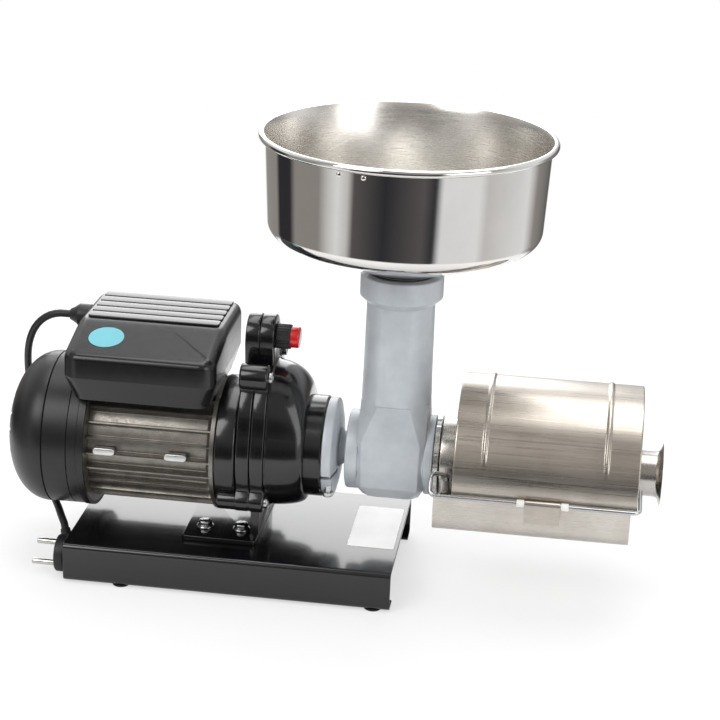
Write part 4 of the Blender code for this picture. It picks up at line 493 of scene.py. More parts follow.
def dense(outline: Array, spacing: float) -> Array:
    """The same closed outline with further points, at most spacing apart, on its straight runs."""
    loop = np.vstack([outline, outline[:1]])
    along = np.concatenate([[0.0], np.cumsum(np.linalg.norm(np.diff(loop, axis=0), axis=1))])
    marks = np.unique(np.concatenate([along[:-1], np.arange(0.0, along[-1], spacing)]))
    return np.stack([np.interp(marks, along, loop[:, column]) for column in range(2)], -1)


def strip(line: Array, thickness: float) -> Array:
    """Closed outline of a bent sheet: its middle line moved half the thickness each way."""
    along = np.gradient(line, axis=0)
    along /= np.linalg.norm(along, axis=1)[:, None]
    side = np.stack([along[:, 1], -along[:, 0]], -1) * thickness / 2
    return np.vstack([line + side, (line - side)[::-1]])


def blended_outline(circles: Sequence[tuple[float, float, float]], blend: float, count: int = 360) -> Array:
    """Outline of circles that melt into each other, seen from the origin.

    A point's distance is minus blend times the logarithm of the sum of exp(-distance to each circle over
    blend). Each ray is sampled from outside in, and the outline is where that distance first reaches zero.

    Args:
        circles: across, up and radius of each.
        blend: how far the circles melt together.
        count: number of rays.

    Returns:
        Closed anticlockwise points.
    """
    angle = np.arange(count) * (2 * math.pi / count)
    ray = np.stack([np.cos(angle), np.sin(angle)], -1)
    reach = np.linspace(0.125, 0.005, 1800)
    place = ray[:, None] * reach[None, :, None]
    total = np.zeros(place.shape[:2])
    for across, up, radius in circles:
        distance = np.hypot(place[..., 0] - across, place[..., 1] - up) - radius
        total += np.exp(-np.clip(distance / blend, -40, 40))
    first = np.argmax(total >= 1.0, axis=1)
    return ray * reach[first][:, None]


@dataclass
class Piece:
    """One piece under construction: grids of points that become one mesh, with a finish for each slot."""

    name: str
    body: str
    finishes: tuple[Finish, ...]
    points: list[Array] = field(default_factory=list)
    faces: list[tuple[int, ...]] = field(default_factory=list)
    slots: list[int] = field(default_factory=list)

    def add(self, grid: Array, slot: int = 0, ring: bool = False, open_round: bool = False) -> Piece:
        """Adds a grid: its rows are joined, wrapped round, and capped or closed to a ring.

        Args:
            grid: rows by points by three.
            slot: index of the finish.
            ring: whether the last row joins the first.
            open_round: whether a row's last point stays apart from its first.

        Returns:
            The piece itself.
        """
        base = sum(len(block) for block in self.points)
        rows, count = grid.shape[:2]
        index = base + np.arange(rows * count).reshape(rows, count)
        if ring:
            index = np.vstack([index, index[:1]])
        if not open_round:
            index = np.hstack([index, index[:, :1]])
        quads = np.stack([index[:-1, :-1], index[:-1, 1:], index[1:, 1:], index[1:, :-1]], -1).reshape(-1, 4)
        made = [tuple(quad) for quad in quads.tolist()]
        if not ring and not open_round:
            made.append(tuple(index[0, :-1].tolist()))
            made.append(tuple(index[-1, :-1].tolist()))
        self.points.append(grid.reshape(-1, 3))
        self.faces += made
        self.slots += [slot] * len(made)
        return self

    def build(self, replaces: Sequence[str] = (), crease: float = 35.0) -> bpy.types.Object:
        """Makes the object, closed and facing outwards, and lets it ride on its body.

        Args:
            replaces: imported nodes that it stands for.
            crease: edges sharper than this many degrees stay sharp.

        Returns:
            The new object.
        """
        mesh = bpy.data.meshes.new(self.name)
        mesh.from_pydata(np.vstack(self.points).tolist(), [], self.faces)
        mesh.polygons.foreach_set("material_index", self.slots)
        shape = bmesh.new()
        shape.from_mesh(mesh)
        bmesh.ops.recalc_face_normals(shape, faces=shape.faces)
        shape.to_mesh(mesh)
        shape.free()
        for finish in self.finishes:
            mesh.materials.append(finish.make())
        mesh.shade_smooth()
        mesh.set_sharp_from_angle(angle=math.radians(crease))
        made = bpy.data.objects.new(self.name, mesh)
        bpy.context.scene.collection.objects.link(made)
        if self.body:
            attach(made, self.body)
            if replaces:
                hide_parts(*replaces)
            log.info("%s: %d faces on %s", self.name, len(mesh.polygons), self.body)
        return made


def carve(piece: bpy.types.Object, tool: Piece, operation: str = "DIFFERENCE") -> None:
    """Cuts a tool out of a piece, or joins it on, and keeps only the result's mesh.

    Args:
        piece: the object that changes.
        tool: what is cut out or joined on; it rides on nothing.
        operation: DIFFERENCE or UNION.
    """
    cutter = tool.build()
    cut = piece.modifiers.new("cut", "BOOLEAN")
    cut.object = cutter
    cut.operation = operation
    cut.solver = "EXACT"
    graph = bpy.context.evaluated_depsgraph_get()
    mesh = bpy.data.meshes.new_from_object(piece.evaluated_get(graph))
    piece.modifiers.clear()
    piece.data = mesh
    mesh.shade_smooth()
    mesh.set_sharp_from_angle(angle=math.radians(32))
    bpy.data.objects.remove(cutter)


def bore(piece: bpy.types.Object, span: tuple[float, float], radius: float, axis: Axis,
         centre: Sequence[float], count: int) -> None:
    """Drills a round hole of a radius through a span along an axis."""
    carve(piece, cutter("bore", turned([(span[0], radius), (span[1], radius)], axis, centre, count)))


def cutter(name: str, grid: Array) -> Piece:
    """A tool made of one grid."""
    return Piece(name, "", (STEEL,)).add(grid)


# ---------------------------------------------------------------- sub-assemblies
@dataclass
class Hopper:
    """Spun stainless hopper: rolled rim, wall, round corner, cone and spout."""

    rim_radius: float = 0.11490
    rim_z: float = 0.36884
    bead: float = 0.0027
    wall_top: float = 0.1098
    wall_low: float = 0.1064
    bend_z: float = 0.2908
    corner: float = 0.013
    cone_low: tuple[float, float] = (0.2622, 0.0312)
    spout: float = 0.0250
    spout_low: float = 0.2384
    sheet: float = 0.0012

    def build(self) -> None:
        """Turns the outside and the inside as two skins that share the bead and the spout's end."""
        neck_z = 0.2588
        outside = fillet([(self.spout_low, self.spout), (neck_z, self.spout), self.cone_low,
                          (self.bend_z, self.wall_low), (self.rim_z - 2.2 * self.bead, self.wall_top)],
                         (0, 0.0012, 0.004, self.corner, 0), steps=9)
        inside = outside - np.array([-0.3, 1.0]) * self.sheet
        inside[:, 0] = np.clip(inside[:, 0], self.spout_low, self.rim_z - 2.2 * self.bead)
        angle = np.radians(np.linspace(-125, 120, 18))
        bead = np.stack([self.rim_z - self.bead + self.bead * np.sin(angle),
                         self.rim_radius - self.bead + self.bead * np.cos(angle)], -1)
        centre = (THROAT_X, 0.0, 0.0)
        piece = Piece("steel_hopper", "hopper", (HOPPER_OUTSIDE, HOPPER_INSIDE))
        split = len(outside) + len(bead)
        profile = np.vstack([outside, bead, inside[::-1]])
        grid = turned(profile, Axis.Z, centre, 160)
        piece.add(grid, 0, ring=True)
        row = np.repeat(np.arange(len(profile)), 160)
        piece.slots = [0 if place < split - 4 else 1 for place in row.tolist()]
        piece.build(("hopper",))
        rivets = Piece("hopper_rivets", "hopper", (HOPPER_OUTSIDE,))
        for across in (-0.0390, -0.0207):
            radius = 0.1094
            spot = (THROAT_X + across, -math.sqrt(radius ** 2 - across ** 2), 0.3600)
            profile = [(0.0006, 0.0022), (-0.0004, 0.0020), (-0.0009, 0.0014), (-0.0011, 0.0003)]
            rivets.add(turned(profile, Axis.Y, spot, 24))
        rivets.build()


@dataclass
class StrainerHead:
    """Lacquered casting: neck, flanges, faceted chamber, throat with a flat front and the hopper's collar."""

    neck_x: float = 0.00675
    body_x: tuple[float, float] = (0.02325, 0.07625)
    flange: float = 0.032
    throat: float = 0.0278
    flat: float = 0.0255
    collar_z: tuple[float, float] = (0.236, 0.258)
    collar: float = 0.0327
    bore: float = 0.0230
    auger_bore: float = 0.0252

    def sections(self) -> Array:
        """Rings of the chamber: rectangles with cut and rounded corners that narrow up to the throat."""
        plan = [(-0.0340, 0.0200, 0.0165, 0.0060), (-0.0318, 0.0228, 0.0205, 0.0055), (-0.0215, 0.0268,
                                                                                       0.0310, 0.0045),
                (-0.0195, 0.0272, 0.0318, 0.0045), (0.0180, 0.0272, 0.0318, 0.0040), (0.0225, 0.0272,
                                                                                      0.0312, 0.0055),
                (0.0470, 0.0270, 0.0262, 0.0150)]
        rings = []
        for _, half_x, half_y, cut in plan:
            octagon = [(half_x, -half_y + cut), (half_x, half_y - cut), (half_x - cut, half_y),
                       (-half_x + cut, half_y),
                       (-half_x, half_y - cut), (-half_x, -half_y + cut), (-half_x + cut, -half_y),
                       (half_x - cut, -half_y)]
            rings.append(fillet(octagon, 0.0022, True, 4))
        return carried([row[0] for row in plan], np.array(rings), Axis.Z, (THROAT_X, 0.0, AXIS_Z))

    def build(self) -> None:
        """Joins the turned barrel, the chamber, the throat and the collar, then bores them."""
        left, right = self.body_x
        neck = [(place, 0.0166) for place in np.linspace(self.neck_x + 0.0002, left - 0.0104, 12)]
        barrel = fillet([(self.neck_x, 0.0030), (self.neck_x, 0.0164), *neck, (left - 0.0100, 0.0166),
                         (left - 0.0100, self.flange), (left, self.flange), (left, 0.0300), (right, 0.0300),
                         (right, self.flange), (right + 0.0070, self.flange), (right + 0.0070, 0.0282),
                         (right + 0.0090, 0.0282), (right + 0.0090, 0.0030)],
                        (0,) * 15 + (0.0018, 0.0018, 0.001, 0.001, 0.0018, 0.0012, 0.0008, 0.0005, 0),
                        steps=4)
        waist = barrel[:, 0] < left - 0.0101
        hollow = np.clip(1 - ((barrel[:, 0] - 0.0101) / 0.0034) ** 2, 0, 1) * 0.0034
        barrel[:, 1] -= np.where(waist & (barrel[:, 1] > 0.010), hollow, 0.0)
        body = Piece("strainer_casting", "frame", (LACQUER,)).add(turned(barrel, Axis.X, (0, 0, AXIS_Z), 96))
        body = body.build(("strainer_body",))
        carve(body, cutter("chamber", self.sections()), "UNION")
        section = circle(self.throat, 96)
        section[:, 1] = np.maximum(section[:, 1], -self.flat)
        heights = np.array([0.020, 0.055, 0.070, 0.120, 0.134])
        growth = np.array([1.0, 1.0, 0.985, 0.965, 0.965])
        throat = carried(heights, section[None] * growth[:, None, None], Axis.Z, (THROAT_X, 0.0, AXIS_Z))
        carve(body, cutter("throat", throat), "UNION")
        low, high = self.collar_z
        collar = fillet([(low - 0.001, 0.024), (low - 0.001, 0.0266), (low + 0.0045, self.collar),
                         (high, self.collar), (high, 0.024)], (0, 0.0015, 0.0015, 0.0012, 0), steps=4)
        carve(body, cutter("collar", turned(collar, Axis.Z, (THROAT_X, 0, 0), 96)), "UNION")
        up = (THROAT_X, 0.0, 0.0)
        bore(body, (AXIS_Z, 0.27), self.bore, Axis.Z, up, 80)
        bore(body, (0.238, 0.27), 0.0254, Axis.Z, up, 80)
        bore(body, (left, 0.1), self.auger_bore, Axis.X, (0, 0, AXIS_Z), 80)
        bore(body, (0.0, left + 0.001), 0.0127, Axis.X, (0, 0, AXIS_Z), 64)


@dataclass
class Gearbox:
    """Two enamelled case halves with lugs, switch lobe, domed cover and output boss."""

    case_x: tuple[float, float] = (-0.07075, -0.05975)
    cover_x: tuple[float, float] = (-0.05945, -0.04825)
    bulge_x: float = -0.01825
    boss_x: float = -0.00455
    boss: float = 0.041
    wall: float = 0.004
    low_radius: float = 0.0535
    high_radius: float = 0.0475
    rise: float = 0.024
    lobe: tuple[float, float, float] = (0.0, 0.0906, 0.0175)
    lugs: tuple[tuple[float, float], ...] = ((0.034, 0.067), (0.045, -0.035))
    barrels: tuple[tuple[float, float, float], ...] = ((-0.0706, -0.0484, 0.0104), (-0.0860, -0.0484, 0.0077))
    blend: float = 0.0016

    def outline(self, shrink: float, lugs: bool) -> Array:
        """The case's outline drawn in by shrink, with or without the lugs and the lobe."""
        circles = [(0.0, 0.0, self.low_radius - shrink), (0.0, self.rise, self.high_radius - shrink)]
        if lugs:
            circles += [self.lobe, (0.0, 0.0700, 0.0120)]
            circles += [(side * across, up, 0.0082) for across, up in self.lugs for side in (-1, 1)]
        return blended_outline(circles, self.blend)

    def half(self, low: float, high: float) -> tuple[Array, Array]:
        """Stations and rings of a flanged half whose rims are rounded."""
        outer = self.outline(0.0, True)
        angle = np.linspace(0, math.pi / 2, 4)
        inset, rise = 0.0013 * (1 - np.sin(angle)), 0.0013 * (1 - np.cos(angle))
        length = np.linalg.norm(outer, axis=1)[:, None]
        rings = [outer * (1 - amount / length) for amount in np.concatenate([inset, inset[::-1]])]
        stations = list(low + rise) + list((high - rise)[::-1])
        return np.array(stations), np.array(rings)

    def build(self) -> None:
        """Makes both halves hollow, the lug posts, the screws, the switch and its button."""
        at = (0.0, 0.0, AXIS_Z)
        cavity = self.outline(self.wall, False)
        hole = circle(0.0064, len(cavity), (0.0, MOTOR_Z - AXIS_Z))
        stations, rings = self.half(*self.case_x)
        left, right = self.case_x
        inner_stations = [right - 0.0001, left + self.wall, left + self.wall, left + 0.0001]
        inner = np.array([cavity, cavity, hole, hole])
        case = Piece("gearbox_case_half", "frame", (ENAMEL,))
        case.add(carried(np.concatenate([stations, inner_stations]), np.vstack([rings, inner]), Axis.X, at),
                 ring=True)
        built = case.build(("gearbox_case",))
        self.pocket(built)
        stations, rings = self.half(*self.cover_x)
        left, right = self.cover_x
        bulge = self.outline(0.0025, False)
        share = np.linspace(0, math.pi / 2, 12)[1:]
        end = circle(0.0435, len(bulge))
        dome_x = right + (self.bulge_x - right) * np.sin(share)
        dome = bulge[None] + (end - bulge)[None] * (1 - np.cos(share))[:, None, None]
        foot = np.array([bulge * 1.045, bulge * 1.012])
        boss = circle(self.boss, len(bulge))
        bore = circle(0.0104, len(bulge))
        seat = circle(0.0158, len(bulge))
        inside = self.outline(0.0065, False)
        stack_x = np.concatenate([stations, [right + 0.0004, right + 0.0016], dome_x,
                                  [self.bulge_x + 0.0003, self.boss_x - 0.0012, self.boss_x, self.boss_x,
                                   self.bulge_x + 0.0033, self.bulge_x + 0.0033, self.bulge_x - self.wall,
                                   self.bulge_x - self.wall, left + 0.0001]])
        stack = np.vstack([rings, foot, dome, [boss, boss, boss * 0.972, bore, bore, seat, seat,
                                               inside * 0.86, inside]])
        cover = Piece("gearbox_cover_half", "frame", (ENAMEL,))
        cover.add(carried(stack_x, stack, Axis.X, at), ring=True)
        built = cover.build(("gearbox_cover",))
        self.pocket(built)
        self.posts()
        self.switch()

    def pocket(self, piece: bpy.types.Object) -> None:
        """Bores the switch's pocket and the screw holes."""
        spot = (0.0, 0.0, AXIS_Z + self.lobe[1])
        bore(piece, (-0.0635, -0.0480), 0.0118, Axis.X, spot, 48)
        for across, up in self.lugs:
            for side in (-1, 1):
                spot = (0.0, side * across, AXIS_Z + up)
                bore(piece, (-0.0666, -0.0480), 0.0026, Axis.X, spot, 20)

    def posts(self) -> None:
        """Socket screws with a round turned recess, each in a long barrel that crosses the flanges."""
        number = 0
        for (across, up), (start, stop, size) in zip(self.lugs, self.barrels):
            for side in (-1, 1):
                number += 1
                spot = (0.0, side * across, AXIS_Z + up)
                barrel = fillet([(start, 0.0026), (start, size), (stop, size), (stop, 0.0026)],
                                (0, 0.0022, 0.0016, 0), True, 4)
                Piece(f"screw_barrel_{number}", "frame", (ENAMEL,)).add(
                    turned(barrel, Axis.X, spot, 48), ring=True).build()
                seat = self.cover_x[1] + GAP
                profile = fillet([(-0.0664, 0.0023), (seat, 0.0023), (seat, 0.0045), (seat + 0.0032, 0.0045),
                                  (seat + 0.0032, 0.0022), (seat + 0.0014, 0.0020), (seat + 0.0014, 0.0002)],
                                 (0, 0, 0.0003, 0.0008, 0.0002, 0, 0), steps=3)
                Piece(f"case_socket_screw_{number}", "frame", (ZINC,)).add(
                    turned(profile, Axis.X, spot, 30)).build((f"case_screw_{number}",))

    def switch(self) -> None:
        """Knurled collar and domed push button on the lobe."""
        spot = (0.0, 0.0, AXIS_Z + self.lobe[1])
        left = self.cover_x[1] + GAP
        right = left + 0.0117
        angle = np.arange(144) * (2 * math.pi / 144)
        ridge = 0.0096 + 0.0003 * np.cos(24 * angle)
        profile = [(left, 0.94), (left + 0.0005, 1.0), (right - 0.0008, 1.0), (right, 0.95)]
        ray = np.stack([np.cos(angle), np.sin(angle)], -1)
        rings = [ray * (ridge * scale)[:, None] for _, scale in profile]
        rings += [ray * 0.0091, ray * 0.0091]
        stations = [row[0] for row in profile] + [right, right - 0.0071]
        collar = Piece("switch_collar_ring", "frame", (NYLON,))
        collar.add(carried(np.array(stations), np.array(rings), Axis.X, spot))
        collar.build(("switch_collar",))
        start = right - 0.0072 + 0.0033
        tip = right + 0.0072
        button = fillet([(start, 0.0004), (start, 0.0086), (tip - 0.0006, 0.0087), (tip, 0.0060),
                         (tip + 0.0, 0.0004)],
                        (0, 0.0003, 0.0016, 0.0010, 0), steps=5)
        Piece("red_push_button", "button", (RED_BUTTON,)).add(turned(button, Axis.X, spot,
                                                                     64)).build(("switch_button",))


@dataclass
class Motor:
    """Finned stator housing, end shields and domed fan cover."""

    left: float = -0.19145
    right: float = -0.08805
    tip: float = 0.0535
    root: float = 0.0470
    seat: float = 0.0465
    bore: float = 0.0423
    fins: int = 26
    cover_radius: float = 0.062

    def build(self) -> None:
        """Builds housing, pads, shields and fan cover."""
        self.housing()
        self.shields()
        self.fan_cover()

    def housing(self) -> None:
        """Thin fins: the radius falls from tip to root away from each fin; flat under the box."""
        count = self.fins * 40
        angle = np.arange(count) * (2 * math.pi / count)
        away = np.abs((self.fins * angle / (2 * math.pi) + 0.5) % 1 - 0.5)
        wave = np.clip((0.135 - away) / 0.085, 0, 1)
        wave = wave * wave * (3 - 2 * wave)
        ray = np.stack([np.cos(angle), np.sin(angle)], -1)
        from_top = np.abs(np.angle(np.exp(1j * (angle - math.pi / 2))))
        flat = self.seat / np.maximum(np.cos(from_top), 0.2)

        def limited(radius: Array) -> Array:
            """Ring of a radius, cut by the flat seat."""
            return ray * np.minimum(radius, flat)[:, None]

        fins = self.root + (self.tip - self.root) * wave
        plain = np.full(count, self.tip)
        rim = self.tip - 0.0008
        shape = [(self.left, np.minimum(fins, rim)), (self.left + 0.0006, fins), (self.right - 0.0076, fins),
                 (self.right - 0.0060, np.maximum(fins, self.tip - 0.0054)),
                 (self.right - 0.0048, np.maximum(fins, self.tip - 0.0034)),
                 (self.right - 0.0040, np.maximum(fins, self.tip - 0.0010)),
                 (self.right - 0.0036, plain), (self.right - 0.0004, plain), (self.right, plain - 0.0006)]
        stations = [row[0] for row in shape] + [self.right, self.left]
        rings = [limited(row[1]) for row in shape] + [ray * self.bore, ray * self.bore]
        at = (0.0, 0.0, MOTOR_Z)
        housing = Piece("finned_stator_housing", "frame", (CAST_ALUMINIUM,))
        housing.add(carried(np.array(stations), np.array(rings), Axis.X, at), ring=True)
        housing.build(("stator_housing",), crease=50)
        pads = Piece("housing_pads", "frame", (CAN,))
        for middle in (-0.1766, -0.1186):
            pad = rounded_box((middle - 0.0090, -0.0030), (middle + 0.0090, 0.0030), 0.0028)
            tilt = math.radians(3)
            grid = pillow(pad, -0.0546, -0.0490, 0.0010, Axis.Y)
            spin = np.array(Matrix.Rotation(-tilt, 3, "X"))
            pads.add(grid @ spin.T + np.array(at))
        pads.build()

    def shields(self) -> None:
        """Front end shield, turned."""
        at = (0.0, 0.0, MOTOR_Z)
        low, high = -0.08775, -0.07105
        plate = high - 0.004
        front = fillet([(low, 0.0500), (low, 0.0540), (high, 0.0540), (high, 0.0064), (plate, 0.0064),
                        (plate, 0.0117),
                        (plate - 0.007, 0.0117), (plate - 0.007, 0.0157), (plate, 0.0157), (plate, 0.0500)],
                       (0, 0.0012, 0.0030, 0, 0, 0, 0, 0.0005, 0, 0.002), True, 4)
        Piece("front_end_shield", "frame", (ENAMEL,)).add(turned(front, Axis.X, at, 96),
                                                          ring=True).build(("front_shield",))

    def fan_cover(self) -> None:
        """Dome: station and radius follow a rounded quarter, with two shallow seams and slots in the end."""
        at = (0.0, 0.0, MOTOR_Z)
        right, dome_x, depth, radius = -0.19175, -0.22775, 0.0358, self.cover_radius
        angle = np.radians(np.linspace(0, 89, 26))
        outer = np.stack([dome_x - depth * np.sin(angle) ** 0.94, radius * np.cos(angle) ** 0.80], -1)
        band = [(right, radius - 0.0012), (right, radius), (right - 0.0055, radius), (right - 0.0060,
                                                                                      radius - 0.0006),
                (-0.2052, radius - 0.0006), (-0.2056, radius - 0.0012), (-0.2060, radius - 0.0006),
                (-0.2250, radius - 0.0003), (-0.2256, radius - 0.0010), (-0.2262, radius - 0.0001)]
        inner = outer * np.array([1.0, 0.966]) + np.array([0.002, 0.0])
        outer_line = np.vstack([band, outer])
        cover = Piece("fan_cover_dome", "frame", (ABS,))
        cover.add(turned(outer_line, Axis.X, at, 128))
        built = cover.build(("fan_cover",))
        hollow = np.vstack([[(right + 0.001, radius - 0.002), (right - 0.002, radius - 0.002)], inner])
        carve(built, cutter("hollow", turned(hollow, Axis.X, at, 128)))
        slot = rounded_box((0.0150, -0.0021), (0.0440, 0.0021), 0.0020)
        for number in range(16):
            turn = 2 * math.pi * (number + 0.5) / 16
            spin = np.array([[math.cos(turn), math.sin(turn)], [-math.sin(turn), math.cos(turn)]])
            ring = slot @ spin
            grid = carried(np.array([-0.2660, dome_x - 0.006]), np.array([ring, ring]), Axis.X, at)
            carve(built, cutter("slot", grid))


@dataclass
class TerminalBox:
    """Black plastic box on the stator: tapered base, sloped lid with five strips, gland, bare disc."""

    left: float = -0.20795
    right: float = -0.08675
    half: float = 0.062
    low: float = 0.1513
    split: float = 0.1713
    top: float = 0.2051
    ridge: float = -0.009
    drop: float = 0.014
    side: float = 0.0078

    def height(self, across: Array) -> Array:
        """Height of the lid: level behind the ridge, sloping down in front, with a soft crease."""
        fall = self.drop / (self.ridge + self.half) * (self.ridge - across)
        soft = 0.5 * (fall + np.sqrt(fall * fall + 1e-6))
        return self.top - 0.0014 - soft

    def build(self) -> None:
        """Builds base, lid, ribs, disc and gland."""
        taper, corner = 0.006, 0.012
        wide = rounded_box((self.left, -self.half), (self.right, self.half), corner, 8)
        narrow = rounded_box((self.left + taper, -self.half + taper), (self.right - taper,
                                                                       self.half - taper), corner, 8)
        rings = np.array([narrow * 0.999, narrow, narrow + (wide - narrow) * 0.28,
                          narrow + (wide - narrow) * 0.86,
                          wide, wide])
        heights = np.array([self.low, self.low + 0.0008, self.low + 0.005, self.low + 0.0165,
                            self.split - 0.0006,
                            self.split])
        base = Piece("terminal_box_tub", "frame", (GLOSS_ABS,)).add(carried(heights, rings, Axis.Z))
        base = base.build(("terminal_box_base",))
        bore(base, (self.left - 0.01, -0.19145), 0.0623, Axis.X, (0, 0, MOTOR_Z), 96)
        room = rounded_box((-0.1889, -self.half + 0.009), (self.right - 0.009, self.half - 0.009), 0.004)
        carve(base, cutter("room", carried(np.array([self.low + 0.0025, self.split + 0.001]),
                                           np.array([room, room]),
                                           Axis.Z)))
        self.lid(wide)
        disc = turned(fillet([(0.0, 0.0003), (0.0002, 0.0003), (0.0002, 0.0140), (0.0, 0.0140)], 0,
                             steps=1)[1:],
                      Axis.Z, (0, 0, 0), 64)
        slope = math.atan(self.drop / (self.ridge + self.half))
        spin = np.array(Matrix.Rotation(slope, 3, "X"))
        centre_y = -0.0345
        spot = np.array([-0.1785, centre_y, float(self.height(np.array([centre_y]))[0]) + 0.0001])
        Piece("turquoise_disc", "frame", (TURQUOISE,)).add(disc @ spin.T + spot).build()
        self.gland()

    def lid(self, wide: Array) -> None:
        """Lid: walls rise to the height function, a quarter round leads onto the top, and rings close it."""
        low = self.split + GAP
        edge = 0.0045
        centre = np.array([(self.left + self.right) / 2, 0.0])
        wide = dense(wide, 0.002)
        normal = outward(wide)
        rings, heights = [wide, wide], [np.full(len(wide), low - 0.0002), np.full(len(wide), low + 0.0008)]
        inset = edge + (self.side - edge) * normal[:, 0:1] ** 2
        for turn in np.linspace(0, math.pi / 2, 9):
            ring = wide - normal * inset * (1 - math.cos(turn))
            rings.append(ring)
            heights.append(self.height(ring[:, 1]) - inset[:, 0] * (1 - math.sin(turn)))
        inner = rings[-1]
        for share in np.linspace(0, 1, 60)[1:-1]:
            ring = inner + (centre - inner) * share
            rings.append(ring)
            heights.append(self.height(ring[:, 1]))
        grid = np.concatenate([np.array(rings), np.array(heights)[..., None]], -1)
        lid = Piece("terminal_box_cover", "frame", (GLOSS_ABS,)).add(grid).build(("terminal_box_lid",))
        room = rounded_box((self.left + 0.003, -self.half + 0.003), (self.right - 0.003, self.half - 0.003),
                           0.005)
        carve(lid, cutter("room", carried(np.array([low - 0.001, 0.1850]), np.array([room, room]), Axis.Z)))
        ribs = Piece("terminal_box_ribs", "frame", (GLOSS_ABS,))
        for number in range(5):
            middle = self.ridge + 0.0072 + number * 0.0131
            bar = rounded_box((self.left + 0.0072, middle - 0.0058), (self.right - 0.0072, middle + 0.0058),
                              0.0026, 5)
            ribs.add(pillow(bar, self.top - 0.0030, self.top, 0.0009, Axis.Z, steps=4))
        ribs.build()

    def gland(self) -> None:
        """Cable gland: a nut, then a straight tapered sleeve."""
        spot = (0.0, 0.035, 0.1896)
        right = self.left - GAP
        end = right - 0.0185
        profile = fillet([(right, 0.0004), (right, 0.0093), (right - 0.0110, 0.0093), (right - 0.0122,
                                                                                       0.0080),
                          (end + 0.0036, 0.0062), (end + 0.0008, 0.0048), (end, 0.0042), (end, 0.0004)],
                         (0, 0.0008, 0.0010, 0.0006, 0.0006, 0.0004, 0.0003, 0), steps=3)
        Piece("cable_gland_sleeve", "frame", (NYLON,)).add(turned(profile, Axis.X, spot,
                                                                  48)).build(("cable_gland",))


@dataclass
class Base:
    """Enamelled channel, its rubber feet, the bolted pedestal and the bare label."""

    left: float = -0.20465
    right: float = 0.05935
    half: float = 0.076
    top: float = 0.034
    low: float = 0.0018
    sheet: float = 0.002
    lip: float = 0.016

    def build(self) -> None:
        """Builds channel, label, feet, pedestal and bolts."""
        half, top, low = self.half - self.sheet / 2, self.top - self.sheet / 2, self.low + self.sheet / 2
        line = fillet([(-half + self.lip, low), (-half, low), (-half, top), (half, top), (half, low),
                       (half - self.lip, low)], 0.0032, steps=8)
        section = strip(line, self.sheet)
        stations = np.array([self.left, self.left + 0.0003, self.right - 0.0003, self.right])
        shrink = section - outward(section) * 0.0003
        rings = np.array([shrink, section, section, shrink])
        Piece("base_channel_sheet", "frame", (ENAMEL,)).add(carried(stations, rings,
                                                                    Axis.X)).build(("base_channel",))
        label = rounded_box((0.0180, -0.0300), (0.0560, 0.0500), 0.0015)
        Piece("bare_white_label", "frame", (WHITE_FILM,)).add(
            pillow(label, self.top, self.top + 0.0002, 0.00008, Axis.Z, steps=1)).build()
        number = 0
        for x in (self.left + 0.046, self.right - 0.014):
            for y in (-0.068, 0.068):
                number += 1
                profile = fillet([(0.0, 0.0004), (0.0, 0.0070), (0.0015, 0.0070), (0.0015, 0.0030), (0.0041,
                                                                                                     0.0030),
                                  (0.0041, 0.0040), (0.0071, 0.0021), (0.0071, 0.0003)],
                                 (0, 0.0006, 0.0004, 0, 0, 0.0003, 0.0004, 0), steps=3)
                Piece(f"foot_{number}", "frame", (RUBBER,)).add(turned(profile, Axis.Z, (x, y, 0), 32)).build(
                    (f"rubber_foot_{number}",))
        self.pedestal()

    def pedestal(self) -> None:
        """Plate and upright web, whose top follows the case, with four flange bolts."""
        low = self.top + GAP
        left, right = -0.11385, -0.05385
        plate = rounded_box((left, -0.048), (right, 0.048), 0.003)
        piece = Piece("pedestal_bracket", "frame", (ENAMEL,)).add(pillow(plate, low, low + 0.004, 0.0006,
                                                                         Axis.Z))
        angle = np.radians(np.linspace(-128, -52, 25))
        arc = np.stack([0.0539 * np.cos(angle), AXIS_Z + 0.0539 * np.sin(angle)], -1)
        web = np.vstack([[(-0.035, low + 0.002), (0.035, low + 0.002)], arc[::-1]])
        piece.add(pillow(web, right - 0.0066, right - 0.0001, 0.0005, Axis.X, steps=2))
        piece.build(("motor_pedestal",))
        number = 0
        seat = low + 0.004 + GAP
        for x in (-0.09885, -0.06885):
            for y in (-0.027, 0.027):
                number += 1
                flange = fillet([(0.0250, 0.0003), (0.0250, 0.0030), (seat, 0.0030), (seat, 0.0071),
                                 (seat + 0.0009, 0.0071), (seat + 0.0022, 0.0058), (seat + 0.0022, 0.0003)],
                                (0, 0.0004, 0, 0.0003, 0.0004, 0.0006, 0), steps=3)
                bolt = Piece(f"flange_bolt_{number}", "frame", (ZINC,)).add(turned(flange, Axis.Z,
                                                                                   (x, y, 0), 48))
                head = np.array(circle(0.0057, 6))
                hexagon = fillet(head, 0.0003, True, 2)
                bolt.add(pillow(hexagon, seat + 0.0010, seat + 0.0055, 0.0007, Axis.Z, (x, y, 0), 3))
                bolt.build((f"base_bolt_{number}",))


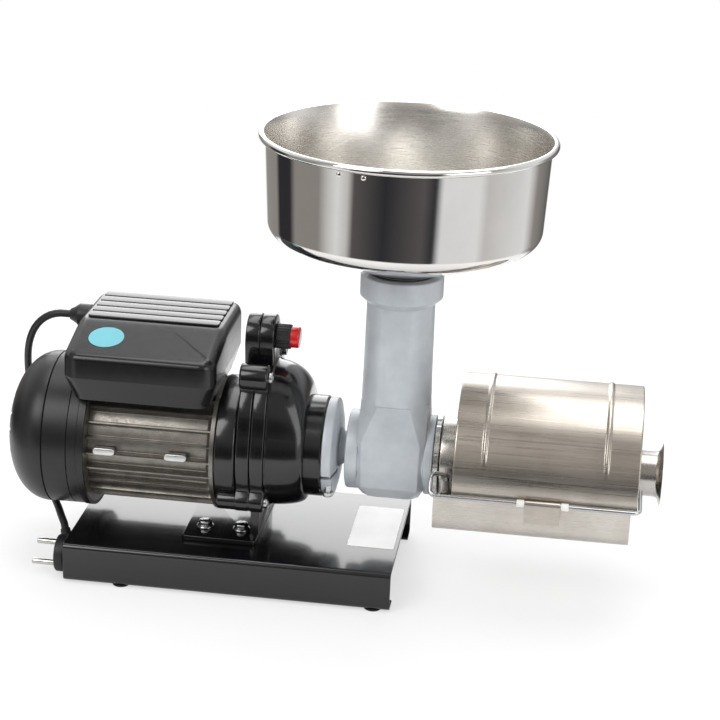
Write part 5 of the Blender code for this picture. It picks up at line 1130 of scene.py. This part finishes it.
@dataclass
class ClampRing:
    """Cast ring between gearbox and strainer, split at the front, with its screw."""

    left: float = -0.00425
    right: float = 0.00645
    radius: float = 0.040

    def build(self) -> None:
        """Turns the ring with a coned right face, saws the slot, drills it and adds the screw."""
        at = (0.0, 0.0, AXIS_Z)
        profile = fillet([(self.left, 0.0120), (self.left, self.radius), (self.right - 0.0032, self.radius),
                          (self.right - 0.0004, self.radius - 0.0120), (self.right, self.radius - 0.0200),
                          (self.right, 0.0120)],
                         (0, 0.0010, 0.0020, 0.0030, 0.0005, 0), True, 4)
        ring = Piece("split_clamp_ring", "frame", (LACQUER,)).add(turned(profile, Axis.X, at, 96), ring=True)
        built = ring.build(("clamp_ring",))
        slot_z = AXIS_Z - self.radius * 0.35
        slot = np.array([(-0.050, slot_z), (-0.016, slot_z), (-0.016, slot_z + 0.003), (-0.050,
                                                                                        slot_z + 0.003)])
        carve(built, cutter("slot", carried(np.array([self.left - 0.01, self.right + 0.01]),
                                            np.array([slot, slot]),
                                            Axis.X)))
        middle = (-0.00425 + 0.00675) / 2
        spot = (middle, -self.radius * 0.78, 0.0)
        low = AXIS_Z - self.radius * 0.60
        carve(built, cutter("screw", turned([(low - 0.02, 0.0048), (low - 0.0022, 0.0048), (low - 0.0022,
                                                                                            0.0028),
                                             (slot_z + 0.011, 0.0028)], Axis.Z, spot, 32)))
        screw = fillet([(low - 0.0060, 0.0003), (low - 0.0060, 0.0044), (low - 0.0025, 0.0044),
                        (low - 0.0025, 0.0025),
                        (slot_z + 0.010, 0.0025), (slot_z + 0.010, 0.0003)], (0, 0.0008, 0.0003, 0, 0.0004,
                                                                              0), steps=3)
        Piece("clamp_cap_screw", "frame", (ZINC,)).add(turned(screw, Axis.Z, spot,
                                                              32)).build(("clamp_screw",))


@dataclass
class SieveEnd:
    """Locking ring with grips, and the conical sieve with its waste outlet."""

    ring_x: tuple[float, float] = (0.08355, 0.08815)
    cone_x: tuple[float, float] = (0.10565, 0.23665)
    start: float = 0.0290
    outlet: float = 0.0180

    def build(self) -> None:
        """Builds ring and sieve."""
        at = (0.0, 0.0, AXIS_Z)
        angle = np.arange(240) * (2 * math.pi / 240)
        grip = 0.0324 + 0.0004 * np.tanh(4 * np.cos(12 * angle))
        ray = np.stack([np.cos(angle), np.sin(angle)], -1)
        left, right = self.ring_x
        rows = [(left, 0.0286, 0), (left, 0.97, 1), (left + 0.0006, 1.0, 1), (right - 0.0006, 1.0, 1),
                (right, 0.97, 1),
                (right, 0.0270, 0), (right - 0.0012, 0.0270, 0), (right - 0.0012, 0.0286, 0)]
        rings = np.array([ray * ((grip * value)[:, None] if scaled else value) for _, value, scaled in rows])
        ring = Piece("grip_ring", "ring", (RING_ALUMINIUM,))
        ring.add(carried(np.array([row[0] for row in rows]), rings, Axis.X, at),
                 ring=True).build(("locking_ring",))
        near, far = self.cone_x
        tube, wall = 0.0264, 0.0012
        outer = [(0.08555, 0.0279), (0.08665, 0.0279), (0.08665, tube), (0.08845, tube), (0.08845, 0.0315),
                 (near, 0.0315),
                 (near, self.start), (far, self.outlet), (0.26115, self.outlet), (0.26375, 0.0255)]
        inner = [(0.26375, 0.0243), (0.26165, self.outlet - wall), (far, self.outlet - wall), (near,
                                                                                               self.start
                                                                                               - wall),
                 (near - 0.001, 0.0252), (0.08555, 0.0252)]
        profile = fillet(outer + inner, (0, 0, 0, 0.0005, 0.0015, 0.0015, 0.0010, 0.006, 0.004, 0.0004,
                                         0.0004, 0.004, 0, 0, 0, 0), True, 4)
        sieve = Piece("conical_sieve", "frame", (SIEVE_STEEL,)).add(turned(profile, Axis.X, at, 112),
                                                                    ring=True)
        catch = rounded_box((0.09065, -0.0312), (0.09765, -0.0255), 0.0006)
        sieve.add(pillow(catch, AXIS_Z - 0.019, AXIS_Z - 0.004, 0.0005, Axis.Z, steps=2))
        sieve.build(("sieve",))


@dataclass
class Guard:
    """Hood over the sieve: beaded half cylinder with end walls, spring wire, bushes and finger tab."""

    left: float = 0.10215
    right: float = 0.24495
    radius: float = 0.0690
    sheet: float = 0.0010
    skirt: float = 0.0035
    beads: tuple[float, float] = (0.1258, 0.2193)
    wire: float = 0.0016

    def build(self) -> None:
        """Builds the hood and what hangs on it."""
        at = (0.0, 0.0, AXIS_Z)
        droop = math.asin(self.skirt / self.radius)
        angle = np.linspace(-droop, math.pi + droop, 121)
        stations = np.linspace(self.left, self.right, 300)
        edge = np.minimum(stations - self.left, self.right - stations)
        rolled = 0.0010 * (1 - np.sqrt(np.clip(1 - (1 - np.clip(edge / 0.0010, 0, 1)) ** 2, 0, 1)))
        bump = sum(np.exp(-((stations - place) / 0.0016) ** 4) for place in self.beads) * 0.0011
        fade = np.clip((np.sin(angle) * self.radius - 0.018) / 0.014, 0, 1)
        fade = fade * fade * (3 - 2 * fade)
        reach = self.radius - rolled[:, None] + bump[:, None] * fade[None]
        ray = np.stack([np.cos(angle), np.sin(angle)], -1)
        outer = ray[None] * reach[..., None]
        inner = ray[None] * (reach - self.sheet)[..., None]
        rings = np.concatenate([outer, inner[:, ::-1]], 1)
        hood = Piece("splash_hood", "guard", (HOOD_STEEL,)).add(carried(stations, rings, Axis.X, at))
        for low, slot in ((self.left + 0.0002, 0.0318), (self.right - 0.0012, 0.0186)):
            sweep = np.linspace(-droop, math.pi + droop, 81)
            rim = np.stack([np.cos(sweep), np.sin(sweep)], -1) * (self.radius - 0.0006)
            arch = np.linspace(math.pi, 0, 41)
            cut = np.stack([slot * np.cos(arch), slot * np.sin(arch)], -1)
            foot = np.array([(-slot, -self.skirt)])
            other = np.array([(slot, -self.skirt)])
            outline = np.vstack([rim, foot, cut, other])
            hood.add(carried(np.array([low, low + self.sheet]), np.array([outline, outline]), Axis.X, at))
        hood.build(("splash_guard",))
        self.clip()

    def clip(self) -> None:
        """Spring wire with a bent arm at each end, two bushes and the rolled tab between them."""
        z = AXIS_Z - self.skirt
        y = -0.07290
        end, loop = self.right + 0.0022, self.left - 0.0165
        path = fillet([(end, -0.0382, z + 0.004), (end, y, z), (loop, y, z), (loop, y + 0.012, z + 0.014),
                       (loop + 0.012, y + 0.020, z + 0.010), (self.left - 0.0050, y + 0.026, z + 0.003)],
                      0.005, steps=8)
        marks = np.concatenate([[0], np.cumsum(np.linalg.norm(np.diff(path, axis=0), axis=1))])
        even = np.linspace(0, marks[-1], 150)
        path = np.stack([np.interp(even, marks, path[:, column]) for column in range(3)], -1)
        Piece("spring_wire", "guard", (ZINC,)).add(swept(path, self.wire, 14)).build(("wire_clip",))
        middle = (self.left + self.right) / 2 - 0.0005
        for number, side in ((1, -1), (2, 1)):
            centre = middle + side * 0.017
            profile = fillet([(centre - 0.003, 0.0019), (centre - 0.003, 0.0030), (centre + 0.003, 0.0030),
                              (centre + 0.003, 0.0019)], (0, 0.0006, 0.0006, 0), True, 4)
            Piece(f"nylon_bush_{number}", "guard", (WHITE_NYLON,)).add(
                turned(profile, Axis.X, (0, y, z), 40), ring=True).build((f"wire_bush_{number}",))
        curl = 0.0025
        sweep = np.radians(np.linspace(-40, 180, 28))
        line = np.vstack([np.stack([curl * np.cos(sweep), curl * np.sin(sweep)], -1),
                          np.stack([np.full(8, -curl), np.linspace(-0.002, -0.015, 8)], -1)])
        section = strip(line, 0.0010)
        stations = middle + np.array([-0.0135, -0.0133, 0.0133, 0.0135])
        Piece("rolled_tab", "guard", (HOOD_STEEL,)).add(
            carried(stations, np.array([section] * 4), Axis.X, (0, y, z))).build(("finger_tab",))


@dataclass
class Tray:
    """Bright drip tray: a round cornered trough with rolled edges and saddle ends."""

    left: float = 0.08845
    right: float = 0.24045
    half: float = 0.068
    top: float = 0.1008
    low: float = 0.0698
    sheet: float = 0.0011

    def build(self) -> None:
        """Builds trough, ends and drain."""
        half, low = self.half - self.sheet / 2, self.low + self.sheet / 2
        line = fillet([(-half, self.top), (-half, low), (half, low), (half, self.top)], 0.012, steps=12)
        section = strip(line, self.sheet)
        stations = np.array([self.left, self.right])
        tray = Piece("tray_trough", "tray", (TRAY_STEEL,)).add(carried(stations, np.array([section] * 2),
                                                                       Axis.X))
        for side in (-1, 1):
            rim = rounded_box((side * half - 0.0011, self.top - 0.0011), (side * half + 0.0011,
                                                                          self.top + 0.0001), 0.0005)
            tray.add(pillow(rim, self.left, self.right, 0.0003, Axis.X, steps=1))
        for low_x, slot in ((self.left + GAP, 0.0318), (self.right - 0.0022, 0.0186)):
            outline = fillet([(-half, self.top - 0.001), (-half, low), (half, low), (half,
                                                                                     self.top - 0.001)],
                                                                                     0.012,
                             steps=12)
            depth = AXIS_Z - self.top + 0.001
            reach = math.asin(depth / slot)
            arch = np.linspace(-reach, -math.pi + reach, 41)
            cut = np.stack([slot * np.cos(arch), AXIS_Z + slot * np.sin(arch)], -1)
            ring = np.vstack([outline, cut])
            tray.add(carried(np.array([low_x, low_x + self.sheet]), np.array([ring, ring]), Axis.X))
        built = tray.build(("drip_tray",))
        bore(built, (self.low - 0.002, self.low + 0.004), 0.015, Axis.Z, (0.19485, 0.0, 0.0), 64)


@dataclass
class CordAndPlug:
    """Mains lead from the gland round the fan cover to the plug that lies in the base's open end."""

    radius: float = 0.0031
    exit: tuple[float, float, float] = (-0.22705, 0.035, 0.1896)
    lead: float = 0.003
    route: tuple[tuple[float, float, float], ...] = (
        (0.0000, 0.0350, 0.1895), (-0.0067, 0.0350, 0.1893), (-0.0147, 0.0355, 0.1868), (-0.0225, 0.0368,
                                                                                         0.1812),
        (-0.0291, 0.0390, 0.1726), (-0.0340, 0.0425, 0.1615), (-0.0372, 0.0470, 0.1485), (-0.0388, 0.0520,
                                                                                          0.1335),
        (-0.0392, 0.0565, 0.1175), (-0.0385, 0.0600, 0.1015), (-0.0365, 0.0615, 0.0860), (-0.0330, 0.0600,
                                                                                          0.0710),
        (-0.0280, 0.0545, 0.0570), (-0.0220, 0.0440, 0.0462), (-0.0155, 0.0300, 0.0405), (-0.0085, 0.0140,
                                                                                          0.0385),
        (-0.0015, -0.0025, 0.0385), (0.0055, -0.0170, 0.0385), (0.0110, -0.0280, 0.0362), (0.0155, -0.0350,
                                                                                           0.0326),
        (0.0172, -0.0385, 0.0300))

    def path(self, spacing: float) -> Array:
        """Even points on the smooth curve through the route, which starts straight out of the gland.

        Between two points of the route the curve is the cubic that also fits the slopes towards their
        neighbours.

        Args:
            spacing: distance between points.

        Returns:
            Points in metres.
        """
        route = np.array(self.route)
        padded = np.vstack([2 * route[0] - route[1], route, 2 * route[-1] - route[-2]])
        before, here, there, after = padded[:-3, None], padded[1:-2, None], padded[2:-1, None], padded[3:,
                                                                                                       None]
        share = np.linspace(0, 1, 20, endpoint=False)[None, :, None]
        fine = 0.5 * (2 * here + (there - before) * share + (2 * before - 5 * here + 4 * there - after)
                      * share ** 2
                      + (3 * here - before - 3 * there + after) * share ** 3)
        fine = np.vstack([fine.reshape(-1, 3), route[-1:]])
        along = np.concatenate([[0], np.cumsum(np.linalg.norm(np.diff(fine, axis=0), axis=1))])
        marks = np.linspace(0, along[-1], round(along[-1] / spacing) + 1)
        even = np.stack([np.interp(marks, along, fine[:, column]) for column in range(3)], -1)
        start = np.array(self.exit)
        return np.vstack([start, even + start - route[0] - (self.lead, 0, 0)])

    def build(self) -> None:
        """Builds the lead as a curve, then the plug with its side outlet and the pins."""
        path = self.path(0.005)
        curve = bpy.data.curves.new("mains_lead", "CURVE")
        curve.dimensions = "3D"
        curve.resolution_u = 1
        curve.render_resolution_u = 0
        curve.bevel_depth = self.radius
        curve.bevel_resolution = 5
        curve.use_fill_caps = True
        spline = curve.splines.new("POLY")
        spline.points.add(len(path) - 1)
        spline.points.foreach_set("co", np.hstack([path, np.ones((len(path), 1))]).ravel())
        lead = bpy.data.objects.new("mains_lead", curve)
        bpy.context.scene.collection.objects.link(lead)
        curve.materials.append(PVC.make())
        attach(lead, "frame")
        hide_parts("power_cord")
        log.info("mains_lead: %d points", len(path))
        plug = self.plug(path)
        pins = [self.pin(number, side) for number, side in ((1, 1), (2, -1))]

    def plug(self, path: Array) -> bpy.types.Object:
        """Round plug: a flange at the face, a waist and a side outlet along the lead's direction."""
        face = -0.21465
        spot = (0.0, -0.055, 0.016)
        profile = fillet([(face, 0.0004), (face, 0.0150), (face + 0.0074, 0.0150), (face + 0.0096, 0.0124),
                          (face + 0.0160, 0.0121), (face + 0.0280, 0.0105), (face + 0.0280, 0.0004)],
                         (0, 0.0014, 0.0010, 0.0010, 0.003, 0.003, 0), steps=4)
        body = Piece("moulded_plug", "frame", (PVC,)).add(turned(profile, Axis.X, spot, 64))
        heading = path[-1] - path[-2]
        heading = heading / np.linalg.norm(heading)
        reach = np.array([0.0003, 0.0009, 0.0040, 0.0075, 0.0133])
        body.add(swept(path[-1] + reach[:, None] * heading, np.array([0.0034, 0.0040, 0.0042, 0.0047,
                                                                      0.0047]), 24))
        return body.build(("plug_body",))

    def pin(self, number: int, side: int) -> bpy.types.Object:
        """One round pin with a domed tip."""
        turn = math.radians(35)
        spot = (0.0, -0.055 + side * 0.0095 * math.cos(turn), 0.016 + side * 0.0095 * math.sin(turn))
        face = -0.21465
        profile = fillet([(face - GAP, 0.0003), (face - GAP, 0.0024), (face - 0.0190, 0.0024),
                          (face - 0.0190, 0.0003)],
                         (0, 0, 0.0018, 0), steps=6)
        piece = Piece(f"plug_pin_nickel_{number}", "frame", (NICKEL,)).add(turned(profile, Axis.X, spot, 32))
        return piece.build((f"plug_pin_{number}",))


@dataclass
class Inside:
    """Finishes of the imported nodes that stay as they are."""

    finishes: dict[str, Finish] = field(default_factory=lambda: {
        "auger": ACETAL, "capacitor": CAN, "cooling_fan": GREY_NYLON, "front_bearing": STEEL,
        "rear_bearing": STEEL,
        "output_bearing": STEEL, "intermediate_shaft": STEEL, "intermediate_wheel": STEEL,
        "output_gear": STEEL,
        "output_shaft": STEEL, "motor_shaft": STEEL, "rotor_core": LAMINATION, "stator_core": LAMINATION,
        "rear_shield": CAST_ALUMINIUM, "shaft_bush": BRONZE, "switch_body": NYLON, "winding_front": COPPER,
        "winding_rear": COPPER})

    def build(self) -> None:
        """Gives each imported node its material."""
        for name, finish in self.finishes.items():
            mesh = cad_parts[name].data
            mesh.materials.clear()
            mesh.materials.append(finish.make())
            log.info("%s: %s", name, finish.name)


@dataclass
class Studio:
    """Camera, pale floor, soft lamps and the surroundings that polished metal mirrors."""

    place: tuple[float, float, float] = (0.19208, -1.44913, 0.71377)
    right: tuple[float, float, float] = (0.99043, 0.13244, 0.03880)
    up: tuple[float, float, float] = (-0.08149, 0.33431, 0.93892)
    forward: tuple[float, float, float] = (-0.1114, 0.9331, -0.3419)
    lens: float = 97.65

    def camera(self) -> None:
        """Sets the camera to the photograph's place, direction and lens."""
        data = bpy.data.cameras.new("camera")
        data.lens = self.lens
        data.sensor_width = 36.0
        data.clip_end = 50.0
        eye = bpy.data.objects.new("camera", data)
        turn = Matrix((self.right, self.up, [-value for value in self.forward])).transposed()
        eye.matrix_world = Matrix.Translation(self.place) @ turn.to_4x4()
        bpy.context.scene.collection.objects.link(eye)
        bpy.context.scene.camera = eye

    def lamps(self) -> None:
        """Adds soft rectangular lamps that face the machine."""
        target = Vector((0.0, 0.0, 0.16))
        for name, spot, size, power in (("key", (-1.1, -1.5, 1.7), 1.2, 20.0), ("fill", (1.6, -1.2, 1.0),
                                                                                1.2, 10.0),
                                        ("top", (0.1, 0.3, 2.0), 1.6, 22.0), ("back", (-0.45, 1.8, 0.95),
                                                                              1.3, 15.0)):
            data = bpy.data.lights.new(name, "AREA")
            data.shape = "SQUARE"
            data.size = size
            data.energy = power
            lamp = bpy.data.objects.new(name, data)
            lamp.location = spot
            lamp.rotation_euler = (target - Vector(spot)).to_track_quat("-Z", "Y").to_euler()
            bpy.context.scene.collection.objects.link(lamp)

    def floor(self) -> None:
        """Lays the floor: nearly white with a shadow to the camera, banded far off where metal mirrors it."""
        ring = circle(6.0, 96)
        grid = carried(np.array([-0.002, 0.0]), np.array([ring, ring]), Axis.Z)
        piece = Piece("floor", "", (WHITE_FILM,)).add(grid).build()
        material = bpy.data.materials.new("pale_studio_floor")
        material.use_nodes = True
        tree = material.node_tree
        shader = tree.nodes["Principled BSDF"]
        shader.inputs["Base Color"].default_value = linear("fafafa")
        shader.inputs["Roughness"].default_value = 0.9
        where = node(tree, "ShaderNodeTexCoord")
        grain = node(tree, "ShaderNodeTexNoise", {"Scale": 400.0}, {"Vector": (where, "Object")})
        bump = node(tree, "ShaderNodeBump", {"Strength": 0.05, "Distance": 0.0002},
                    {"Height": (grain, "Fac")})
        tree.links.new(bump.outputs["Normal"], shader.inputs["Normal"])
        glow = node(tree, "ShaderNodeEmission", {"Color": (1, 1, 1, 1), "Strength": 1.0})
        path = node(tree, "ShaderNodeLightPath")
        reach = node(tree, "ShaderNodeVectorMath", {"operation": "LENGTH"}, {0: (where, "Object")})
        white = node(tree, "ShaderNodeMapRange", {"From Min": 0.45, "From Max": 1.1, "To Min": 0.60,
                                                  "To Max": 1.0},
                     {"Value": (reach, "Value")})
        seen = arithmetic(tree, "MULTIPLY", (path, "Is Camera Ray"), (white, "Result"))
        both = node(tree, "ShaderNodeMixShader", links={0: (seen, 0), 1: (shader, "BSDF"),
                                                        2: (glow, "Emission")})
        beyond = node(tree, "ShaderNodeMapRange", {"From Min": 0.52, "From Max": 0.62},
                      {"Value": (reach, "Value")})
        mirrored = arithmetic(tree, "MULTIPLY", (path, "Is Glossy Ray"), (beyond, "Result"))
        room = node(tree, "ShaderNodeEmission", {"Strength": 1.0},
                    {"Color": self.bands(tree, (where, "Object"))})
        last = node(tree, "ShaderNodeMixShader", links={0: (mirrored, 0), 1: (both, "Shader"),
                                                        2: (room, "Emission")})
        tree.links.new(last.outputs["Shader"], tree.nodes["Material Output"].inputs["Surface"])
        piece.data.materials.clear()
        piece.data.materials.append(material)

    def bands(self, tree: bpy.types.NodeTree, place: tuple) -> tuple:
        """Upright bright and dark bands of a room, which polished steel mirrors.

        Args:
            tree: the node tree that gets them.
            place: a node and its output with a position or a direction.

        Returns:
            A node and its output with the colour, set by the angle round the machine from the front.
        """
        parts = node(tree, "ShaderNodeSeparateXYZ", links={"Vector": place})
        front = arithmetic(tree, "MULTIPLY", (parts, "Y"), -1.0)
        angle = arithmetic(tree, "ARCTAN2", (parts, "X"), (front, 0))
        share = node(tree, "ShaderNodeMapRange", {"From Min": -math.pi, "From Max": math.pi},
                     {"Value": (angle, 0)})
        white, pale, grey = (0.95, 0.95, 0.96, 1), (0.70, 0.69, 0.68, 1), (0.33, 0.31, 0.29, 1)
        dark, black = (0.12, 0.11, 0.11, 1), (0.035, 0.035, 0.04, 1)
        stops = [(0.00, white), (0.05, white), (0.08, grey), (0.16, grey), (0.175, black), (0.225, black),
                 (0.245, grey), (0.32, grey), (0.345, pale), (0.37, white), (0.395, pale), (0.41, dark),
                 (0.48, black), (0.56, dark), (0.585, black), (0.60, white), (0.68, white), (0.70, pale),
                 (0.82, white), (0.86, grey), (0.95, dark), (1.00, white)]
        return node(tree, "ShaderNodeValToRGB", {"stops": stops}, {"Fac": (share, "Result")}), "Color"

    def surroundings(self) -> None:
        """White to the eye; metal mirrors a banded room, greyer above; matt surfaces get even light."""
        world = bpy.data.worlds.new("studio")
        world.use_nodes = True
        bpy.context.scene.world = world
        tree = world.node_tree
        where = node(tree, "ShaderNodeTexCoord")
        parts = node(tree, "ShaderNodeSeparateXYZ", links={"Vector": (where, "Generated")})
        lift = node(tree, "ShaderNodeMapRange", {"From Min": 0.05, "From Max": 0.35}, {"Value": (parts, "Z")})
        behind = node(tree, "ShaderNodeMapRange", {"From Min": -0.15, "From Max": 0.25},
                      {"Value": (parts, "Y")})
        height = node(tree, "ShaderNodeMix", {"data_type": "RGBA", 6: (0.44, 0.42, 0.40, 1),
                                              7: (0.97, 0.98, 1.0, 1)},
                      {0: (behind, "Result")})
        room = node(tree, "ShaderNodeMix", {"data_type": "RGBA"},
                    {0: (lift, "Result"), 6: self.bands(tree, (where, "Generated")), 7: (height, 2)})
        path = node(tree, "ShaderNodeLightPath")
        even = node(tree, "ShaderNodeMix", {"data_type": "RGBA", 6: (0.55, 0.55, 0.56, 1)},
                    {0: (path, "Is Glossy Ray"), 7: (room, 2)})
        eye = arithmetic(tree, "MAXIMUM", (path, "Is Camera Ray"), (path, "Is Transmission Ray"))
        shown = node(tree, "ShaderNodeMix", {"data_type": "RGBA", 7: (1, 1, 1, 1)}, {0: (eye, 0),
                                                                                     6: (even, 2)})
        tree.links.new(shown.outputs[2], tree.nodes["Background"].inputs["Color"])
        tree.nodes["Background"].inputs["Strength"].default_value = 1.0

    def build(self) -> None:
        """Sets up camera, floor, lamps and surroundings."""
        self.camera()
        self.floor()
        self.lamps()
        self.surroundings()
        bpy.context.scene.view_settings.view_transform = "Standard"


def main() -> None:
    """Builds the studio and every sub-assembly."""
    logging.basicConfig(level=logging.INFO, format="%(name)s: %(message)s")
    for part in (Studio(), CordAndPlug(), Hopper(), StrainerHead(), ClampRing(), Gearbox(), Motor(),
                 TerminalBox(),
                 Base(), SieveEnd(), Guard(), Tray(), Inside()):
        part.build()


if __name__ == "__main__":
    main()
